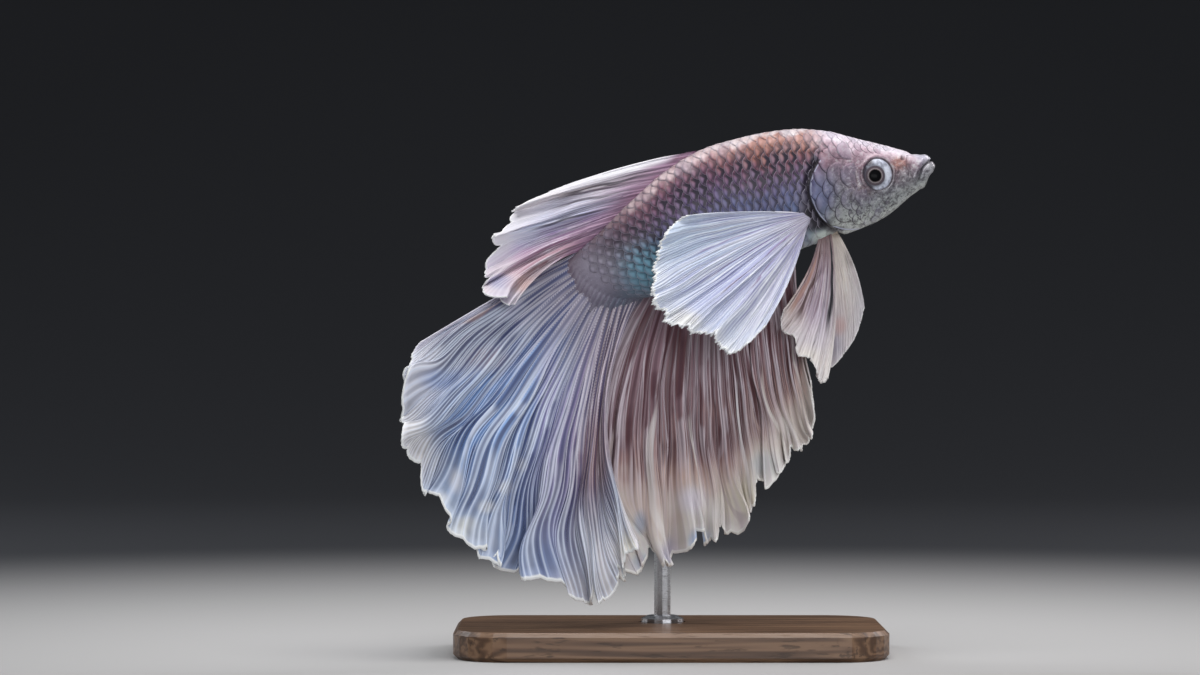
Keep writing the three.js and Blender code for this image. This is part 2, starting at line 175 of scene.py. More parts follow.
def mesh_piece(name, points, quads, triangles=(), values=None, uv=None):
    """A smooth-shaded mesh from points in millimetres. values holds numbers for each point, and uv is
    a place on the OFBake map for each face corner of the quads. Faces are turned to look outwards."""
    points = np.asarray(points, float).reshape(-1, 3)
    triangles = np.asarray(triangles, int).reshape(-1, 3)
    halves = [quads[:, [0, 1, 2]], quads[:, [0, 2, 3]], triangles]
    corners = points[np.concatenate(halves)]
    volume = np.einsum("ij,ij->", corners[:, 0], np.cross(corners[:, 1], corners[:, 2]))
    if volume < 0:
        quads, triangles = quads[:, ::-1], triangles[:, ::-1]
        uv = None if uv is None else uv.reshape(-1, 4, 2)[:, ::-1]
    mesh = bpy.data.meshes.new(name)
    mesh.vertices.add(len(points))
    mesh.vertices.foreach_set("co", (points * MM).astype(np.float32).ravel())
    sizes = np.concatenate([np.full(len(quads), 4), np.full(len(triangles), 3)])
    mesh.loops.add(int(sizes.sum()))
    mesh.loops.foreach_set("vertex_index", np.concatenate([quads.ravel(), triangles.ravel()]))
    mesh.polygons.add(len(sizes))
    mesh.polygons.foreach_set("loop_start", np.concatenate([[0], np.cumsum(sizes)[:-1]]))
    mesh.polygons.foreach_set("loop_total", sizes)
    mesh.update(calc_edges=True)
    mesh.polygons.foreach_set("use_smooth", np.ones(len(sizes), bool))
    for key, numbers in (values or {}).items():
        layer = mesh.attributes.new(key, "FLOAT", "POINT")
        layer.data.foreach_set("value", np.asarray(numbers, np.float32).ravel())
    if uv is not None:
        layer = mesh.uv_layers.new(name="OFBake")
        layer.data.foreach_set("uv", np.asarray(uv, np.float32).ravel())
    piece = bpy.data.objects.new(name, mesh)
    bpy.context.scene.collection.objects.link(piece)
    return piece


def finish_piece(piece, material, slot, *nodes):
    piece.data.materials.append(material)
    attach(piece, "root")
    if nodes:
        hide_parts(*nodes)


# ---- materials ------------------------------------------------------------------------------------


def rgba(tint):
    return (*(part / 100 for part in tint), 1)


class Value:
    """A number or place on a surface, worked out by nodes. Arithmetic with it adds Math nodes."""

    def __init__(self, nodes, socket):
        self.nodes, self.socket = nodes, socket

    def math(self, operation, other=0.0):
        return self.nodes.math(operation, self, other)

    def __add__(self, other):
        return self.math("ADD", other)

    def __sub__(self, other):
        return self.math("SUBTRACT", other)

    def __rsub__(self, other):
        return self.nodes.math("SUBTRACT", other, self)

    def __mul__(self, other):
        return self.math("MULTIPLY", other)

    def __truediv__(self, other):
        return self.math("DIVIDE", other)

    def __abs__(self):
        return self.math("ABSOLUTE")

    def spread(self, low, high, to_low=0.0, to_high=1.0):
        """This from low..high to to_low..to_high, smoothly and clamped."""
        inputs = {"Value": self, "From Min": low, "From Max": high, "To Min": to_low, "To Max": to_high}
        return self.nodes.node("MapRange", "Result", inputs, interpolation_type="SMOOTHSTEP", clamp=True)


class Nodes:
    """Builds one material. Each call adds a node and gives back its output as a Value."""

    def __init__(self, name):
        self.material = bpy.data.materials.new(name)
        self.material.use_nodes = True
        self.tree = self.material.node_tree

    def put(self, value, socket):
        if isinstance(value, Value):
            self.tree.links.new(value.socket, socket)
        elif isinstance(value, tuple):
            socket.default_value = rgba(value)
        else:
            socket.default_value = value

    def add(self, kind, inputs=(), **settings):
        made = self.tree.nodes.new("ShaderNode" + kind)
        for key, value in settings.items():
            setattr(made, key, value)
        for key, value in dict(inputs).items():
            self.put(value, made.inputs[key])
        return made

    def node(self, kind, output, inputs=(), **settings):
        return Value(self, self.add(kind, inputs, **settings).outputs[output])

    def attribute(self, name):
        return self.node("Attribute", "Fac", attribute_name=name)

    @functools.cached_property
    def place(self):
        """The place in the object's own frame, in millimetres."""
        where = self.node("TexCoord", "Object")
        return self.node("VectorMath", 0, {0: where, 3: 1 / MM}, operation="SCALE")

    @functools.cached_property
    def axes(self):
        return [Value(self, socket) for socket in self.add("SeparateXYZ", {0: self.place}).outputs]

    def math(self, operation, a, b):
        return self.node("Math", 0, {0: a, 1: b}, operation=operation)

    def vector(self, x, y, z=0.0):
        return self.node("CombineXYZ", 0, {0: x, 1: y, 2: z})

    def noise(self, scale, detail=2.0, rough=0.5, at=None):
        inputs = {"Vector": at or self.place, "Scale": scale, "Detail": detail, "Roughness": rough}
        return self.node("TexNoise", "Fac", inputs)

    def cells(self, scale, feature="DISTANCE_TO_EDGE", at=None):
        inputs = {"Vector": at or self.place, "Scale": scale}
        return self.node("TexVoronoi", "Distance", inputs, feature=feature)

    def wave(self, at, scale, distortion=0.0):
        inputs = {"Vector": self.vector(at, 0.0), "Scale": scale, "Distortion": distortion}
        return self.node("TexWave", "Fac", inputs)

    def radius(self, x, z):
        return (x * x + z * z).math("SQRT")

    def spot(self, x, z, wide, tall):
        """A soft oval of 1 round a place in the side view, fading to 0, on both sides of the fish."""
        far = self.radius((self.axes[0] - x) / wide, (self.axes[2] - z) / tall)
        return far.spread(1.0, 0.2)

    def mix(self, share, a, b):
        return self.node("Mix", 2, {0: share, 6: a, 7: b}, data_type="RGBA")

    def paint(self, colour, *layers):
        """A colour with layers over it, each a share and a tint."""
        for share, tint in layers:
            colour = self.mix(share, colour, tint)
        return colour

    def patches(self, colour, rows):
        """A colour with soft patches over it."""
        return self.paint(colour, *((self.spot(*oval) * share, tint) for *oval, share, tint in rows))

    def ramp(self, value, stops):
        """A tint for each value. A stop is its place in hundredths, then its tint."""
        made = self.add("ValToRGB", {"Fac": value})
        elements = made.color_ramp.elements
        while len(elements) < len(stops):
            elements.new(0.5)
        for element, (at, *tint) in zip(elements, stops):
            element.position = at / 100
            element.color = rgba(tint)
        return Value(self, made.outputs["Color"])

    def bump(self, height, strength, distance_mm):
        inputs = {"Height": height, "Strength": strength, "Distance": distance_mm * MM}
        return self.node("Bump", "Normal", inputs)

    def surface(self, **sockets):
        """Sets the shader's sockets, named with _ for a space."""
        for key, value in sockets.items():
            self.put(value, self.tree.nodes["Principled BSDF"].inputs[key.replace("_", " ")])
        return self.material


# ---- body -----------------------------------------------------------------------------------------
COAT = 0.3  # the skin lies this far inside the solids, and the scales fill the rest
HEAD_END = 0.415  # the skin's mesh is finer up to here
NOSE_CAP = 0.03  # the rounded snout, before the first cut
TAIL_CAP = 0.09  # the thin fleshy lobe over the tail fin's root, past the last cut
TAIL_LOBE = {"reach": 3.0, "edge": 0.03, "waves": 4.3}
EYE = {"at": (28.8, 66.8), "wide": 2.1, "tall": 2.22}
GILL_EDGE = [
    (21.3, 69.6), (20.4, 68.2), (19.7, 66.8), (19.3, 65.3), (19.4, 63.8), (20.0, 62.2), (20.9, 60.8),
    (22.3, 59.7), (24.4, 59.1), (27.4, 59.2),
]  # fmt: skip
MOUTH_SLIT = [(37.0, 69.1), (36.2, 68.7), (35.1, 67.8), (34.6, 66.8), (34.0, 65.5)]
# Creases of the head: the line, its depth and width, and how much shade is painted in it.
CREASES = [
    ([(33.1, 69.4), (33.0, 68.2), (33.4, 66.4)], 0.14, 0.2, 0.35),  # behind the upper jaw
    ([(33.9, 65.3), (31.6, 63.9), (29.6, 62.9), (28.0, 62.2)], 0.13, 0.22, 0.3),  # lower jaw
    ([(24.9, 67.9), (25.6, 65.5), (25.2, 63.2), (26.6, 61.3), (29.0, 60.7)], 0.12, 0.28, 0.25),  # cheek
    ([(20.5, 67.3), (22.3, 65.2), (22.3, 63.8), (23.2, 62.7), (23.9, 61.2)], 0.1, 0.11, 0.75),  # plates
    ([(25.2, 68.6), (23.4, 67.2), (22.3, 65.2)], 0.07, 0.11, 0.5),
]
# Soft swellings and hollows of the head: x, z, half width, half height and rise.
SWELLS = [
    (28.3, 70.0, 1.8, 0.7, 0.12),  # brow
    (33.8, 70.1, 0.5, 0.5, -0.5),  # behind the upper lip
    (32.0, 66.6, 1.2, 1.2, -0.12),  # before the eye
    (34.9, 65.1, 1.5, 1.5, 0.4),  # chin
    (36.6, 69.5, 0.6, 0.5, -0.6),  # corner of the upper lip
    (25.4, 63.6, 2.2, 2.2, 0.14),  # cheek
    (29.6, 63.6, 1.2, 1.2, 0.08),  # lower jaw
]
NOSTRIL = (32.3, 68.9)


def height_share(wide, angle):
    """How high up a cut a place is, from 0 at the underside to 1 at the back."""
    rise = -np.cos(angle)
    return wide + np.where(rise > 0, 1 - wide, wide) * rise


def body_point(s, angle, grow=0.0):
    """Places on the plain body: s runs from nose to tail root, and angle goes round from the underside
    up the left. The caps round off the snout and the tail's root."""
    bx, bz, ux, uz, half, wide = np.moveaxis(along(CUTS, s), -1, 0)
    nose = np.clip(-s / NOSE_CAP, 0, 1)
    tail = np.clip((s - 1) / TAIL_CAP, 0, 1)
    share = height_share(wide, angle)
    size = np.hypot(bx - ux, bz - uz)
    stretch = grow / size
    height = share * (1 + 2 * stretch) - stretch
    arc = 1 - (2 * share - 1) ** 2
    bulge = (TAIL_BULGE["reach"] * arc + grow) * smooth(TAIL_BULGE["start"], 1, s)
    uneven = 0.5 + 0.5 * arc + 0.08 * np.sin(TURN * TAIL_LOBE["waves"] * share)
    bulge = bulge + TAIL_LOBE["reach"] * tail * uneven
    x = ux + (bx - ux) * height - (bz - uz) / size * bulge
    z = uz + (bz - uz) * height - (ux - bx) / size * bulge
    middle_x, middle_z = (bx + ux) / 2, (bz + uz) / 2
    round_in = np.sqrt(np.clip(1 - nose**2, 0, 1))
    x = middle_x + (x - middle_x) * round_in + (NOSE[0] + grow - middle_x) * nose
    z = middle_z + (z - middle_z) * round_in + (NOSE[1] - middle_z) * nose
    edge = TAIL_LOBE["edge"]
    thick = (edge + (half + grow - edge) * (1 - smooth(0, 1, tail))) * round_in
    side = np.sin(angle)
    y = np.sign(side) * np.abs(side) ** SECTION_FULLNESS * thick
    return np.stack([x, swing(x, z) + y, z], axis=-1)


def outward(s, angle):
    """Which way the plain body faces."""
    ds, da = 0.002, 0.01
    along_s = body_point(s + ds, angle, -COAT) - body_point(s - ds, angle, -COAT)
    around = body_point(s, angle + da, -COAT) - body_point(s, angle - da, -COAT)
    return unit(np.cross(along_s, around))


def eye_radius(x, z):
    """1 on the rim of the eye."""
    return np.hypot((x - EYE["at"][0]) / EYE["wide"], (z - EYE["at"][1]) / EYE["tall"])


def folds(x, z, line, low, high):
    """A line's distance, signed distance, and strength, which fades at the line's ends."""
    far, side, place = line_distance(x, z, line)
    return far, far * side, smooth(0, low, place) * (1 - smooth(high, 1, place))


def features(x, z):
    """The head's forms: how far the skin stands out, in millimetres, and how much shade is painted in its
    creases, pits and gaps.
    """
    uneven = ripple(0.31 * x + 0.17 * z, 3) * ripple(0.23 * z - 0.29 * x, 4)
    rise = (COAT + 0.05 * uneven) * smooth(13, 19, x)

    # A raised rim round the eye's socket, with painted shade in the gap round the eyeball.
    eye = eye_radius(x, z)
    rise = rise + 0.16 * bell(eye - 1.1, 0.12) - 1.6 * (1 - smooth(0.84, 0.98, eye))
    dark = 0.6 * bell(eye - 0.98, 0.07)

    # The gill cover stands out, and the body falls away behind its edge, where shade is painted.
    far, gill, strength = folds(x, z, GILL_EDGE, 0.14, 0.9)
    cover = np.where(gill > 0, np.exp(-np.maximum(gill, 0) / 3.2), 0)
    behind = np.where(gill <= 0, np.exp(-far / 0.75), 0)
    step = smooth(-0.1, 0.1, gill)
    rise = rise + strength * (0.3 * cover * step + 0.08 * bell(gill - 0.2, 0.16) - 0.62 * behind)
    dark = dark + strength * (1 - step) * np.exp(-far / 0.9) * 1.1

    # Lips on both sides of the mouth's slit, with painted shade in the slit.
    _, mouth, strength = folds(x, z, MOUTH_SLIT, 0.001, 0.86)
    lips = 0.32 * bell(mouth - 0.66, 0.45) + 0.34 * bell(mouth + 0.6, 0.5)
    rise = rise + strength * (lips - 0.42 * bell(mouth, 0.13))
    dark = dark + 0.9 * strength * bell(mouth, 0.12)

    for line, depth, width, shade in CREASES:
        far, _, strength = folds(x, z, line, 0.1, 0.85)
        rise = rise - depth * strength * bell(far, width)
        dark = dark + shade * strength * bell(far, width * 0.8)
    for at_x, at_z, wide, tall, height in SWELLS:
        rise = rise + height * bell((x - at_x) / wide, 1) * bell((z - at_z) / tall, 1)

    # The nostril is a pit with a raised rim and painted shade in it.
    nostril = np.hypot(x - NOSTRIL[0], z - NOSTRIL[1])
    rise = rise - 0.3 * bell(nostril, 0.2) + 0.08 * bell(nostril - 0.42, 0.16)
    dark = dark + 0.8 * bell(nostril, 0.2)
    return rise, np.clip(dark, 0, 1)


def skin_point(s, angle):
    """Places on the finished skin, with the shade painted in their creases."""
    plain = body_point(s, angle, -COAT)
    rise, dark = features(plain[..., 0], plain[..., 2])
    return plain + outward(s, angle) * rise[..., None], dark


def body_marks(s, angle, points):
    """The numbers that the colours of skin and scales are worked out from."""
    _, gill, strength = folds(points[..., 0], points[..., 2], GILL_EDGE, 0.14, 0.9)
    height = height_share(along(CUTS, s)[..., 5], angle)
    return {"length": s, "height": height, "gill": np.where(strength > 0.3, gill, FAR)}


def make_skin():
    head_rings, body_rings, around = 225, 105, 288
    head = np.linspace(-NOSE_CAP * 0.995, HEAD_END, head_rings)
    body = np.linspace(HEAD_END, 1 + TAIL_CAP, body_rings + 1)[1:]
    ring = np.concatenate([head, body])
    s, angle = np.meshgrid(ring, TURN * np.arange(around) / around, indexing="ij")
    points, dark = skin_point(s, angle)
    marks = body_marks(s, angle, points)
    values = {key: np.append(marks[key], marks[key].flat[0]) for key in marks}
    values["crevice_shade"] = np.append(dark, 0.0)
    points = np.concatenate([points.reshape(-1, 3), [[NOSE[0] - 0.1, 0, NOSE[1]]]])

    belly = s.size - around
    back = belly + around // 2
    k = np.arange(1, around // 2 - 1)
    tail = np.stack([belly + k, belly + k + 1, belly + around - k - 1, belly + around - k], axis=-1)
    ends = [[belly, belly + 1, belly + around - 1], [back - 1, back, back + 1]]
    quads = np.concatenate([grid_faces(len(ring), around, wrap=True), tail])
    triangles = np.concatenate([fan_faces(s.size, 0, around), ends])
    piece = mesh_piece("skin", points, quads, triangles, values)
    nodes = ("head", "lower_jaw", "gill_cover_left", "gill_cover_right", "trunk", "tail_stalk")
    finish_piece(piece, skin_material(), "skin", *nodes)


# ---- scales ---------------------------------------------------------------------------------------
SCALE = {"rows": 28, "pitch": 1.18}  # rows round the body, and millimetres along it
# A scale's outline in pitches and rows: its length, half width and the root's share of it, how far the
# rim drops back beside the middle and at the corners, and how uneven it is.
OUTLINE = {"long": 2.2, "half": 1.04, "root": 0.72, "drop": 0.62, "corner": 0.3, "uneven": 0.05}
# Its form in millimetres: how deep the root lies, how far the rim and the middle rise, how thick and
# uneven it is, and how far it sinks beneath the gill cover.
PLATE = {"sunk": 0.05, "rise": 0.2, "dome": 0.025, "thick": 0.04, "uneven": 0.012, "beneath": 0.9}
FLATTER = {"head": 0.4, "tail": 0.93}  # shares by which the rims rise less there
SCALE_MESH = (7, 10)  # quads along and across a scale
SCALE_START, SCALE_END = 0.2, 0.97
HEAD_COLUMNS = (-13, 6)  # columns are counted from SCALE_START, in pitches
NAPE = (23.5, 69.6)  # the body's scales end here on the back
BARE_CHEST = (20.5, 60)  # they leave out what is in front of and below this
BAKE_PATCH = 0.003  # a scale's share of the OFBake map's width


def even_angle(row):
    """The angle of a row of scales: rows are evenly spaced round the body, the first on the back."""
    rows = SCALE["rows"]
    fine = np.linspace(0, TURN, 721)
    arc = arc_lengths(body_point(np.full(fine.shape, 0.5), fine))
    share = arc / arc[-1] * rows
    shares = np.concatenate([share - rows, share, share + rows])
    angles = np.concatenate([fine - TURN, fine, fine + TURN])
    return np.interp(np.asarray(row) + rows / 2, shares, angles)


def even_length(column):
    """s of a column of scales, evenly spaced along the body's middle. Columns on the head are negative."""
    fine = np.linspace(0.02, SCALE_END + 0.1, 700)
    cut = along(CUTS, fine)
    middle = np.stack([cut[:, 0] + cut[:, 2], cut[:, 1] + cut[:, 3]], axis=-1) / 2
    arc = arc_lengths(middle) + np.maximum(fine - 1, 0) / TAIL_CAP * TAIL_LOBE["reach"]
    return np.interp(column * SCALE["pitch"], arc - np.interp(SCALE_START, fine, arc), fine)


def scale_grid(size, first, last):
    """Rows and columns of a staggered grid of scales, each size times a body scale."""
    count = round(SCALE["rows"] / size)
    rows, columns = np.meshgrid(np.arange(count), np.arange(first, last, size), indexing="ij")
    columns = columns + 0.5 * size * (rows % 2)
    return rows.ravel() * SCALE["rows"] / count, columns.ravel()


def body_roots():
    """The scales behind the gill cover and, above it, on the nape. The bare chest has none."""
    last = next(column for column in itertools.count() if even_length(column) >= SCALE_END)
    rows, columns = scale_grid(1.0, 0, last)
    rim = body_point(even_length(columns + OUTLINE["long"]), even_angle(rows), -COAT)
    x, z = rim[:, 0], rim[:, 2]
    _, gill, _ = folds(x, z, GILL_EDGE, 0.02, 0.98)
    keep = np.where(z < NAPE[1], (gill < -0.4) | (x < 19), x < NAPE[0])
    keep &= (x <= BARE_CHEST[0]) | (z >= BARE_CHEST[1])
    rows, columns = rows[keep], columns[keep]
    return rows, columns, 1 - 0.35 * smooth(0.84, 1.0, even_length(columns))


def head_roots():
    """The head's own scales: small on the crown and the cheek, and large plates on the gill cover."""
    found = []
    for size, zone in ((0.72, crown), (1.45, gill_cover), (0.95, cheek)):
        rows, columns = scale_grid(size, *HEAD_COLUMNS)
        middle = body_point(even_length(columns + 0.62 * OUTLINE["long"] * size), even_angle(rows), -COAT)
        keep = zone(middle[:, 0], middle[:, 2])
        found.append((rows[keep], columns[keep], np.full(keep.sum(), size)))
    return [np.concatenate(part) for part in zip(*found)]


def crown(x, z):
    edge = np.interp(x, [19, 22, 25, 29, 32], [69.6, 69.4, 69.6, 70.0, 70.3])
    return (z > edge) & (x > 21.5) & (x < 31.5)


def gill_cover(x, z):
    _, gill, strength = folds(x, z, GILL_EDGE, 0.02, 0.98)
    inside = (gill > 0.5) & (strength > 0.1) & (x < 25.4)
    return inside & (z > 61.0) & (z < 69.0)


def cheek(x, z):
    return (x >= 25.4) & (x < 31.0) & (z > 60.6) & (z < 64.6) & (eye_radius(x, z) > 1.5)


def make_coat(name, rows, columns, size, plate, seed):
    """Both sides' scales, each side one piece. The names are the wrong way round: _right is the fish's
    left side, with the rows on the back and the underside, and _left is its right side."""
    rng = np.random.default_rng(seed)
    tone, odd = rng.random(len(rows)), rng.normal(0, 1, len(rows))
    left_side = (rows % SCALE["rows"] >= SCALE["rows"] / 2) | (rows == 0)
    for side, mask in (("_right", left_side), ("_left", ~left_side)):
        make_scales(name + side, *(part[mask, None] for part in (rows, columns, size, tone, odd)), plate)


def make_scales(name, rows, columns, size, tone, odd, plate):
    """Joined scales: thin curved plates that start inside the skin and rise to a free rear rim."""
    steps, across = SCALE_MESH
    u, v = np.meshgrid(np.linspace(0, 1, steps + 1), np.linspace(-1, 1, across + 1), indexing="ij")
    u, v = u.ravel()[None, :], v.ravel()[None, :]
    rim = OUTLINE["long"] - OUTLINE["drop"] * v**2 - OUTLINE["corner"] * v**6
    rim = rim + OUTLINE["uneven"] * odd * (1 - 0.5 * v**2)
    x = u * rim
    y = v * OUTLINE["half"] * (OUTLINE["root"] + (1 - OUTLINE["root"]) * smooth(0, 0.5, u))
    s, angle = even_length(columns + x * size), even_angle(rows + y * size)
    tip = PLATE["rise"] * (1 - FLATTER["head"] * plate) * size + PLATE["uneven"] * odd
    tip = tip * (1 - FLATTER["tail"] * smooth(0.8, 1.0, s))
    lift = tip * x / OUTLINE["long"] + PLATE["dome"] * (1 - v**2) * u - PLATE["sunk"]
    base, _ = skin_point(s, angle)
    if not plate:
        _, gill, strength = folds(base[..., 0], base[..., 2], GILL_EDGE, 0.02, 0.98)
        beneath_cover = np.where(strength > 0.1, np.maximum(gill + 0.4, 0), 0)
        lift = lift - PLATE["beneath"] * smooth(0, 0.35, beneath_cover)
    facing = outward(s, angle)
    top = base + facing * lift[..., None]
    points = np.concatenate([top, top - facing * PLATE["thick"]], axis=1)

    beside = OUTLINE["long"] - 0.5 - OUTLINE["drop"] * (1 - np.abs(v)) ** 2
    marks = body_marks(s, angle, base) | {
        "shown": (x - np.maximum(rim - 1, beside)) * SCALE["pitch"] * size,
        "edge": (rim - x) * SCALE["pitch"] * size,
        "across": np.broadcast_to(v, x.shape),
        "tone": np.broadcast_to(tone, x.shape),
        "plate": np.full(x.shape, plate),
    }
    values = {key: np.concatenate([numbers] * 2, axis=1) for key, numbers in marks.items()}
    one = sheet_faces(steps + 1, across + 1)
    quads = (one[None] + np.arange(len(rows))[:, None, None] * points.shape[1]).reshape(-1, 4)

    root_u = (even_length(columns) + NOSE_CAP) / (1 + NOSE_CAP + TAIL_CAP) * 0.98
    root_v = (even_angle(rows) / TURN) % 1 * 0.98
    place_u = root_u + BAKE_PATCH * np.concatenate([0.7 * u, 0.74 + 0.26 * u], axis=1)
    place_v = root_v + BAKE_PATCH * np.concatenate([(v + 1) / 2] * 2, axis=1)
    uv = np.stack([place_u.ravel(), place_v.ravel()], axis=-1)[quads.ravel()]
    piece = mesh_piece(name, points, quads, values=values, uv=uv)
    finish_piece(piece, scale_material(), "skin")


# ---- colours of skin and scales --------------------------------------------------------------------
# Tints up the body's side: the height in hundredths, then the tint. The pale top stops paint a highlight
# along the back.
HEAD_TINTS = [
    (0, 58, 62, 58), (15, 42, 45, 44), (36, 19, 19.5, 22), (55, 19, 15, 20), (70, 28, 17, 22),
    (84, 54, 37, 45), (95, 90, 82, 92),
]  # fmt: skip
FRONT_TINTS = [
    (0, 36, 41, 40), (14, 18, 25, 36), (30, 15, 20, 36), (45, 12, 12, 25), (60, 13.5, 7.5, 17),
    (72, 22, 8.5, 11.5), (83, 36, 14.5, 10.5), (93, 50, 26, 22), (100, 88, 78, 79),
]  # fmt: skip
MIDDLE_TINTS = [
    (0, 19, 25, 38), (20, 16, 23, 37), (42, 12, 14.5, 31), (58, 11, 8, 20), (74, 15, 6.5, 15),
    (88, 26, 11, 15), (100, 78, 62, 64),
]  # fmt: skip
TAIL_TINTS = [(0, 15, 14, 18), (22, 12, 14, 19), (45, 11, 11, 15), (70, 9, 7, 9.5), (100, 10, 6, 8)]
# Soft patches in the side view: x, z, half width, half height, share and tint.
# The three nearly black patches at the end are painted shade under the gill cover's lower edge.
BODY_PATCHES = [
    (-1.4, 53.8, 8.6, 5.4, 0.9, (20, 45, 58)), (-10.4, 53, 5.4, 6, 0.75, (23, 21, 27)),
    (31.6, 67.2, 4, 3, 0.6, (20, 15, 16)), (31.9, 68.4, 1.7, 1.4, 0.85, (46, 21, 17)),
    (26.6, 65.6, 3.4, 3.2, 0.6, (17, 8.5, 10)), (35.7, 69.4, 2.4, 2, 0.8, (48, 48, 60)),
    (36.3, 67.6, 1.6, 2.2, 0.8, (56, 56, 60)), (20.9, 64, 3, 4.4, 0.85, (13.5, 15, 27)),
    (22.6, 57.9, 4, 1.5, 0.95, (74, 84, 78)), (19.4, 61.4, 2.2, 2.4, 0.9, (1.2, 1.2, 1.6)),
    (20.9, 60, 2.6, 1.3, 1, (1.2, 1.2, 1.6)), (23.2, 59.2, 2.2, 0.6, 1, (1.2, 1.2, 1.6)),
]  # fmt: skip


def markings(n):
    """The colour of the fish's body at each place, shared by the skin and the scales. It holds painted
    shade at the gill cover and a painted highlight along the back.
    """
    length, height = n.attribute("length"), n.attribute("height")
    cloudy = height + n.noise(0.5, 3).spread(0.3, 0.7, -0.05, 0.05)
    head, front, middle, tail = (
        n.ramp(cloudy, stops) for stops in (HEAD_TINTS, FRONT_TINTS, MIDDLE_TINTS, TAIL_TINTS)
    )
    colour = n.mix(length.spread(0.33, 0.41), head, front)
    colour = n.mix(length.spread(0.48, 0.66), colour, middle)
    colour = n.mix(length.spread(0.7, 0.9), colour, tail)
    colour = n.patches(colour, BODY_PATCHES)
    mottle, specks = n.noise(1.7, 4, 0.68), n.noise(3.6, 2, 0.6)
    veins = n.cells(0.85, at=n.node("VectorMath", 0, {0: n.place, 1: n.noise(0.9, 2)}))
    fore = length.spread(0.4, 0.3)
    low = fore * height.spread(0.85, 0.6, 0.3, 1.0)
    gill = n.attribute("gill") / cloudy.spread(0.55, 0.2, 0.55, 1.3)
    # Painted shade just behind the gill cover's edge, where the body falls away under it.
    shoulder = gill.spread(-2.5, -1.3) * gill.spread(0.05, -0.05)
    return n.paint(
        colour,
        (low * mottle.spread(0.49, 0.6, 0, 0.7), (5, 4, 5.5)),
        (fore * mottle.spread(0.47, 0.37, 0, 0.55), (50, 50, 52)),
        (low * specks.spread(0.6, 0.7, 0, 0.6), (3, 2.5, 3)),
        (low * veins.spread(0.05, 0.0, 0, 0.4), (5, 4, 6)),
        # The painted shade behind the gill cover.
        (shoulder * height.spread(0.05, 0.14, 0.0, 0.92), (1.8, 1.6, 2)),
    )


def skin_material():
    """Skin with a fine grain, painted shade in its creases, a painted highlight along the gill cover's rim
    and, at the tail fin's root, low ridges over the rays.
    """
    n = Nodes("fish_skin")
    length, gill = n.attribute("length"), n.attribute("gill")
    fine = n.noise(2.6, 3, 0.6)
    root = length.spread(0.95, 1.03)
    ridges = ((n.attribute("height") + fine.spread(0.3, 0.7, -0.004, 0.004)) * (TURN * 17)).math("SINE")
    colour = n.paint(
        markings(n),
        (fine.spread(0.5, 0.75) * length.spread(0.9, 0.7, 0.08, 0.3), (62, 62, 68)),
        # A painted highlight along the gill cover's raised rim.
        (gill.spread(0.0, 0.08) * gill.spread(0.28, 0.12) * 0.7, (56, 60, 78)),
        # Painted shade in the head's creases, pits and gaps.
        (n.attribute("crevice_shade") * 0.92, (3, 2.5, 3.5)),
        (root * ridges.spread(-0.2, -0.95, 0, 0.5), (9, 6.5, 11)),
        (n.cells(2.6, "F1").spread(0.3, 0.12) * length.spread(0.9, 1.0, 0, 0.2), (42, 39, 46)),
    )
    height = n.cells(3.4).spread(0.0, 0.12, 0, 0.5) + fine + root * ridges * 1.6
    return n.surface(
        Base_Color=colour,
        Roughness=fine.spread(0.3, 0.7, 0.3, 0.5),
        Metallic=0.1,
        Specular_IOR_Level=length.spread(0.84, 0.97, 0.6, 0.2),
        Coat_Weight=length.spread(0.84, 0.97, 0.35, 0.03),
        Coat_Roughness=0.12,
        Normal=n.bump(height, 0.3, 0.07),
    )


@functools.cache
def scale_material():
    """A painted shadow in front of each scale's free part, where the scale ahead overlaps it, and a
    painted highlight on the lighter rear part and the pale rim. The head's scales and the gill covers'
    plates have a dark outline instead."""
    n = Nodes("fish_scales")
    shown, edge, tone, plate = (n.attribute(name) for name in ("shown", "edge", "tone", "plate"))
    height, length = n.attribute("height"), n.attribute("length")
    depth = shown / height.spread(0.4, 0.68, 0.72, 1.0)
    # Painted shadow of the scale ahead, across the front of the free part.
    overlap_shadow = depth.spread(0.66, 0.34) * abs(n.attribute("across")).spread(0.72, 0.36)
    strength = height.spread(0.97, 0.78, 0.15, 1.0) * height.spread(0.3, 0.62, 0.55, 1.0)
    strength = strength * tone.spread(0.0, 0.6, 0.75, 1.0) * (1.0 - plate * 0.8)
    strength = strength * length.spread(0.98, 0.8, 0.2, 1.0) * length.spread(0.3, 0.38, 0.15, 1.0)
    strength = strength * (1.0 - n.spot(21.6, 58.6, 4.5, 3.2))
    outline = edge.spread(0.14, 0.04) * plate * n.attribute("gill").spread(5.0, 3.0, 0.3, 0.85)
    colour = n.paint(
        markings(n),
        (tone.spread(0.5, 1.0, 0, 0.3), (28, 26, 36)),
        # A painted highlight: the free rear part is lighter.
        (shown.spread(0.45, 1.0, 0.0, 0.2), (46, 42, 54)),
        # Painted shadow of the scale ahead, darkest right behind its rim.
        (overlap_shadow * strength, (1.4, 0.8, 2.2)),
        (shown.spread(0.2, 0.06, 0, 0.6) * strength, (2, 1.4, 3)),
        # A painted highlight along the scale's rim.
        (edge.spread(0.12, 0.03) * (1.0 - plate) * 0.4, (60, 56, 68)),
        (outline, (3.5, 2.5, 4.5)),
    )
    return n.surface(
        Base_Color=colour,
        Roughness=tone.spread(0.0, 1.0, 0.42, 0.54),
        Metallic=0.1,
        Specular_IOR_Level=0.35,
        Coat_Weight=0.08,
        Coat_Roughness=0.2,
        Normal=n.bump(n.wave(edge, 3.4, 0.6), 0.1, 0.02),
    )


# ---- eyes -----------------------------------------------------------------------------------------
PUPIL = (28.45, 66.6)
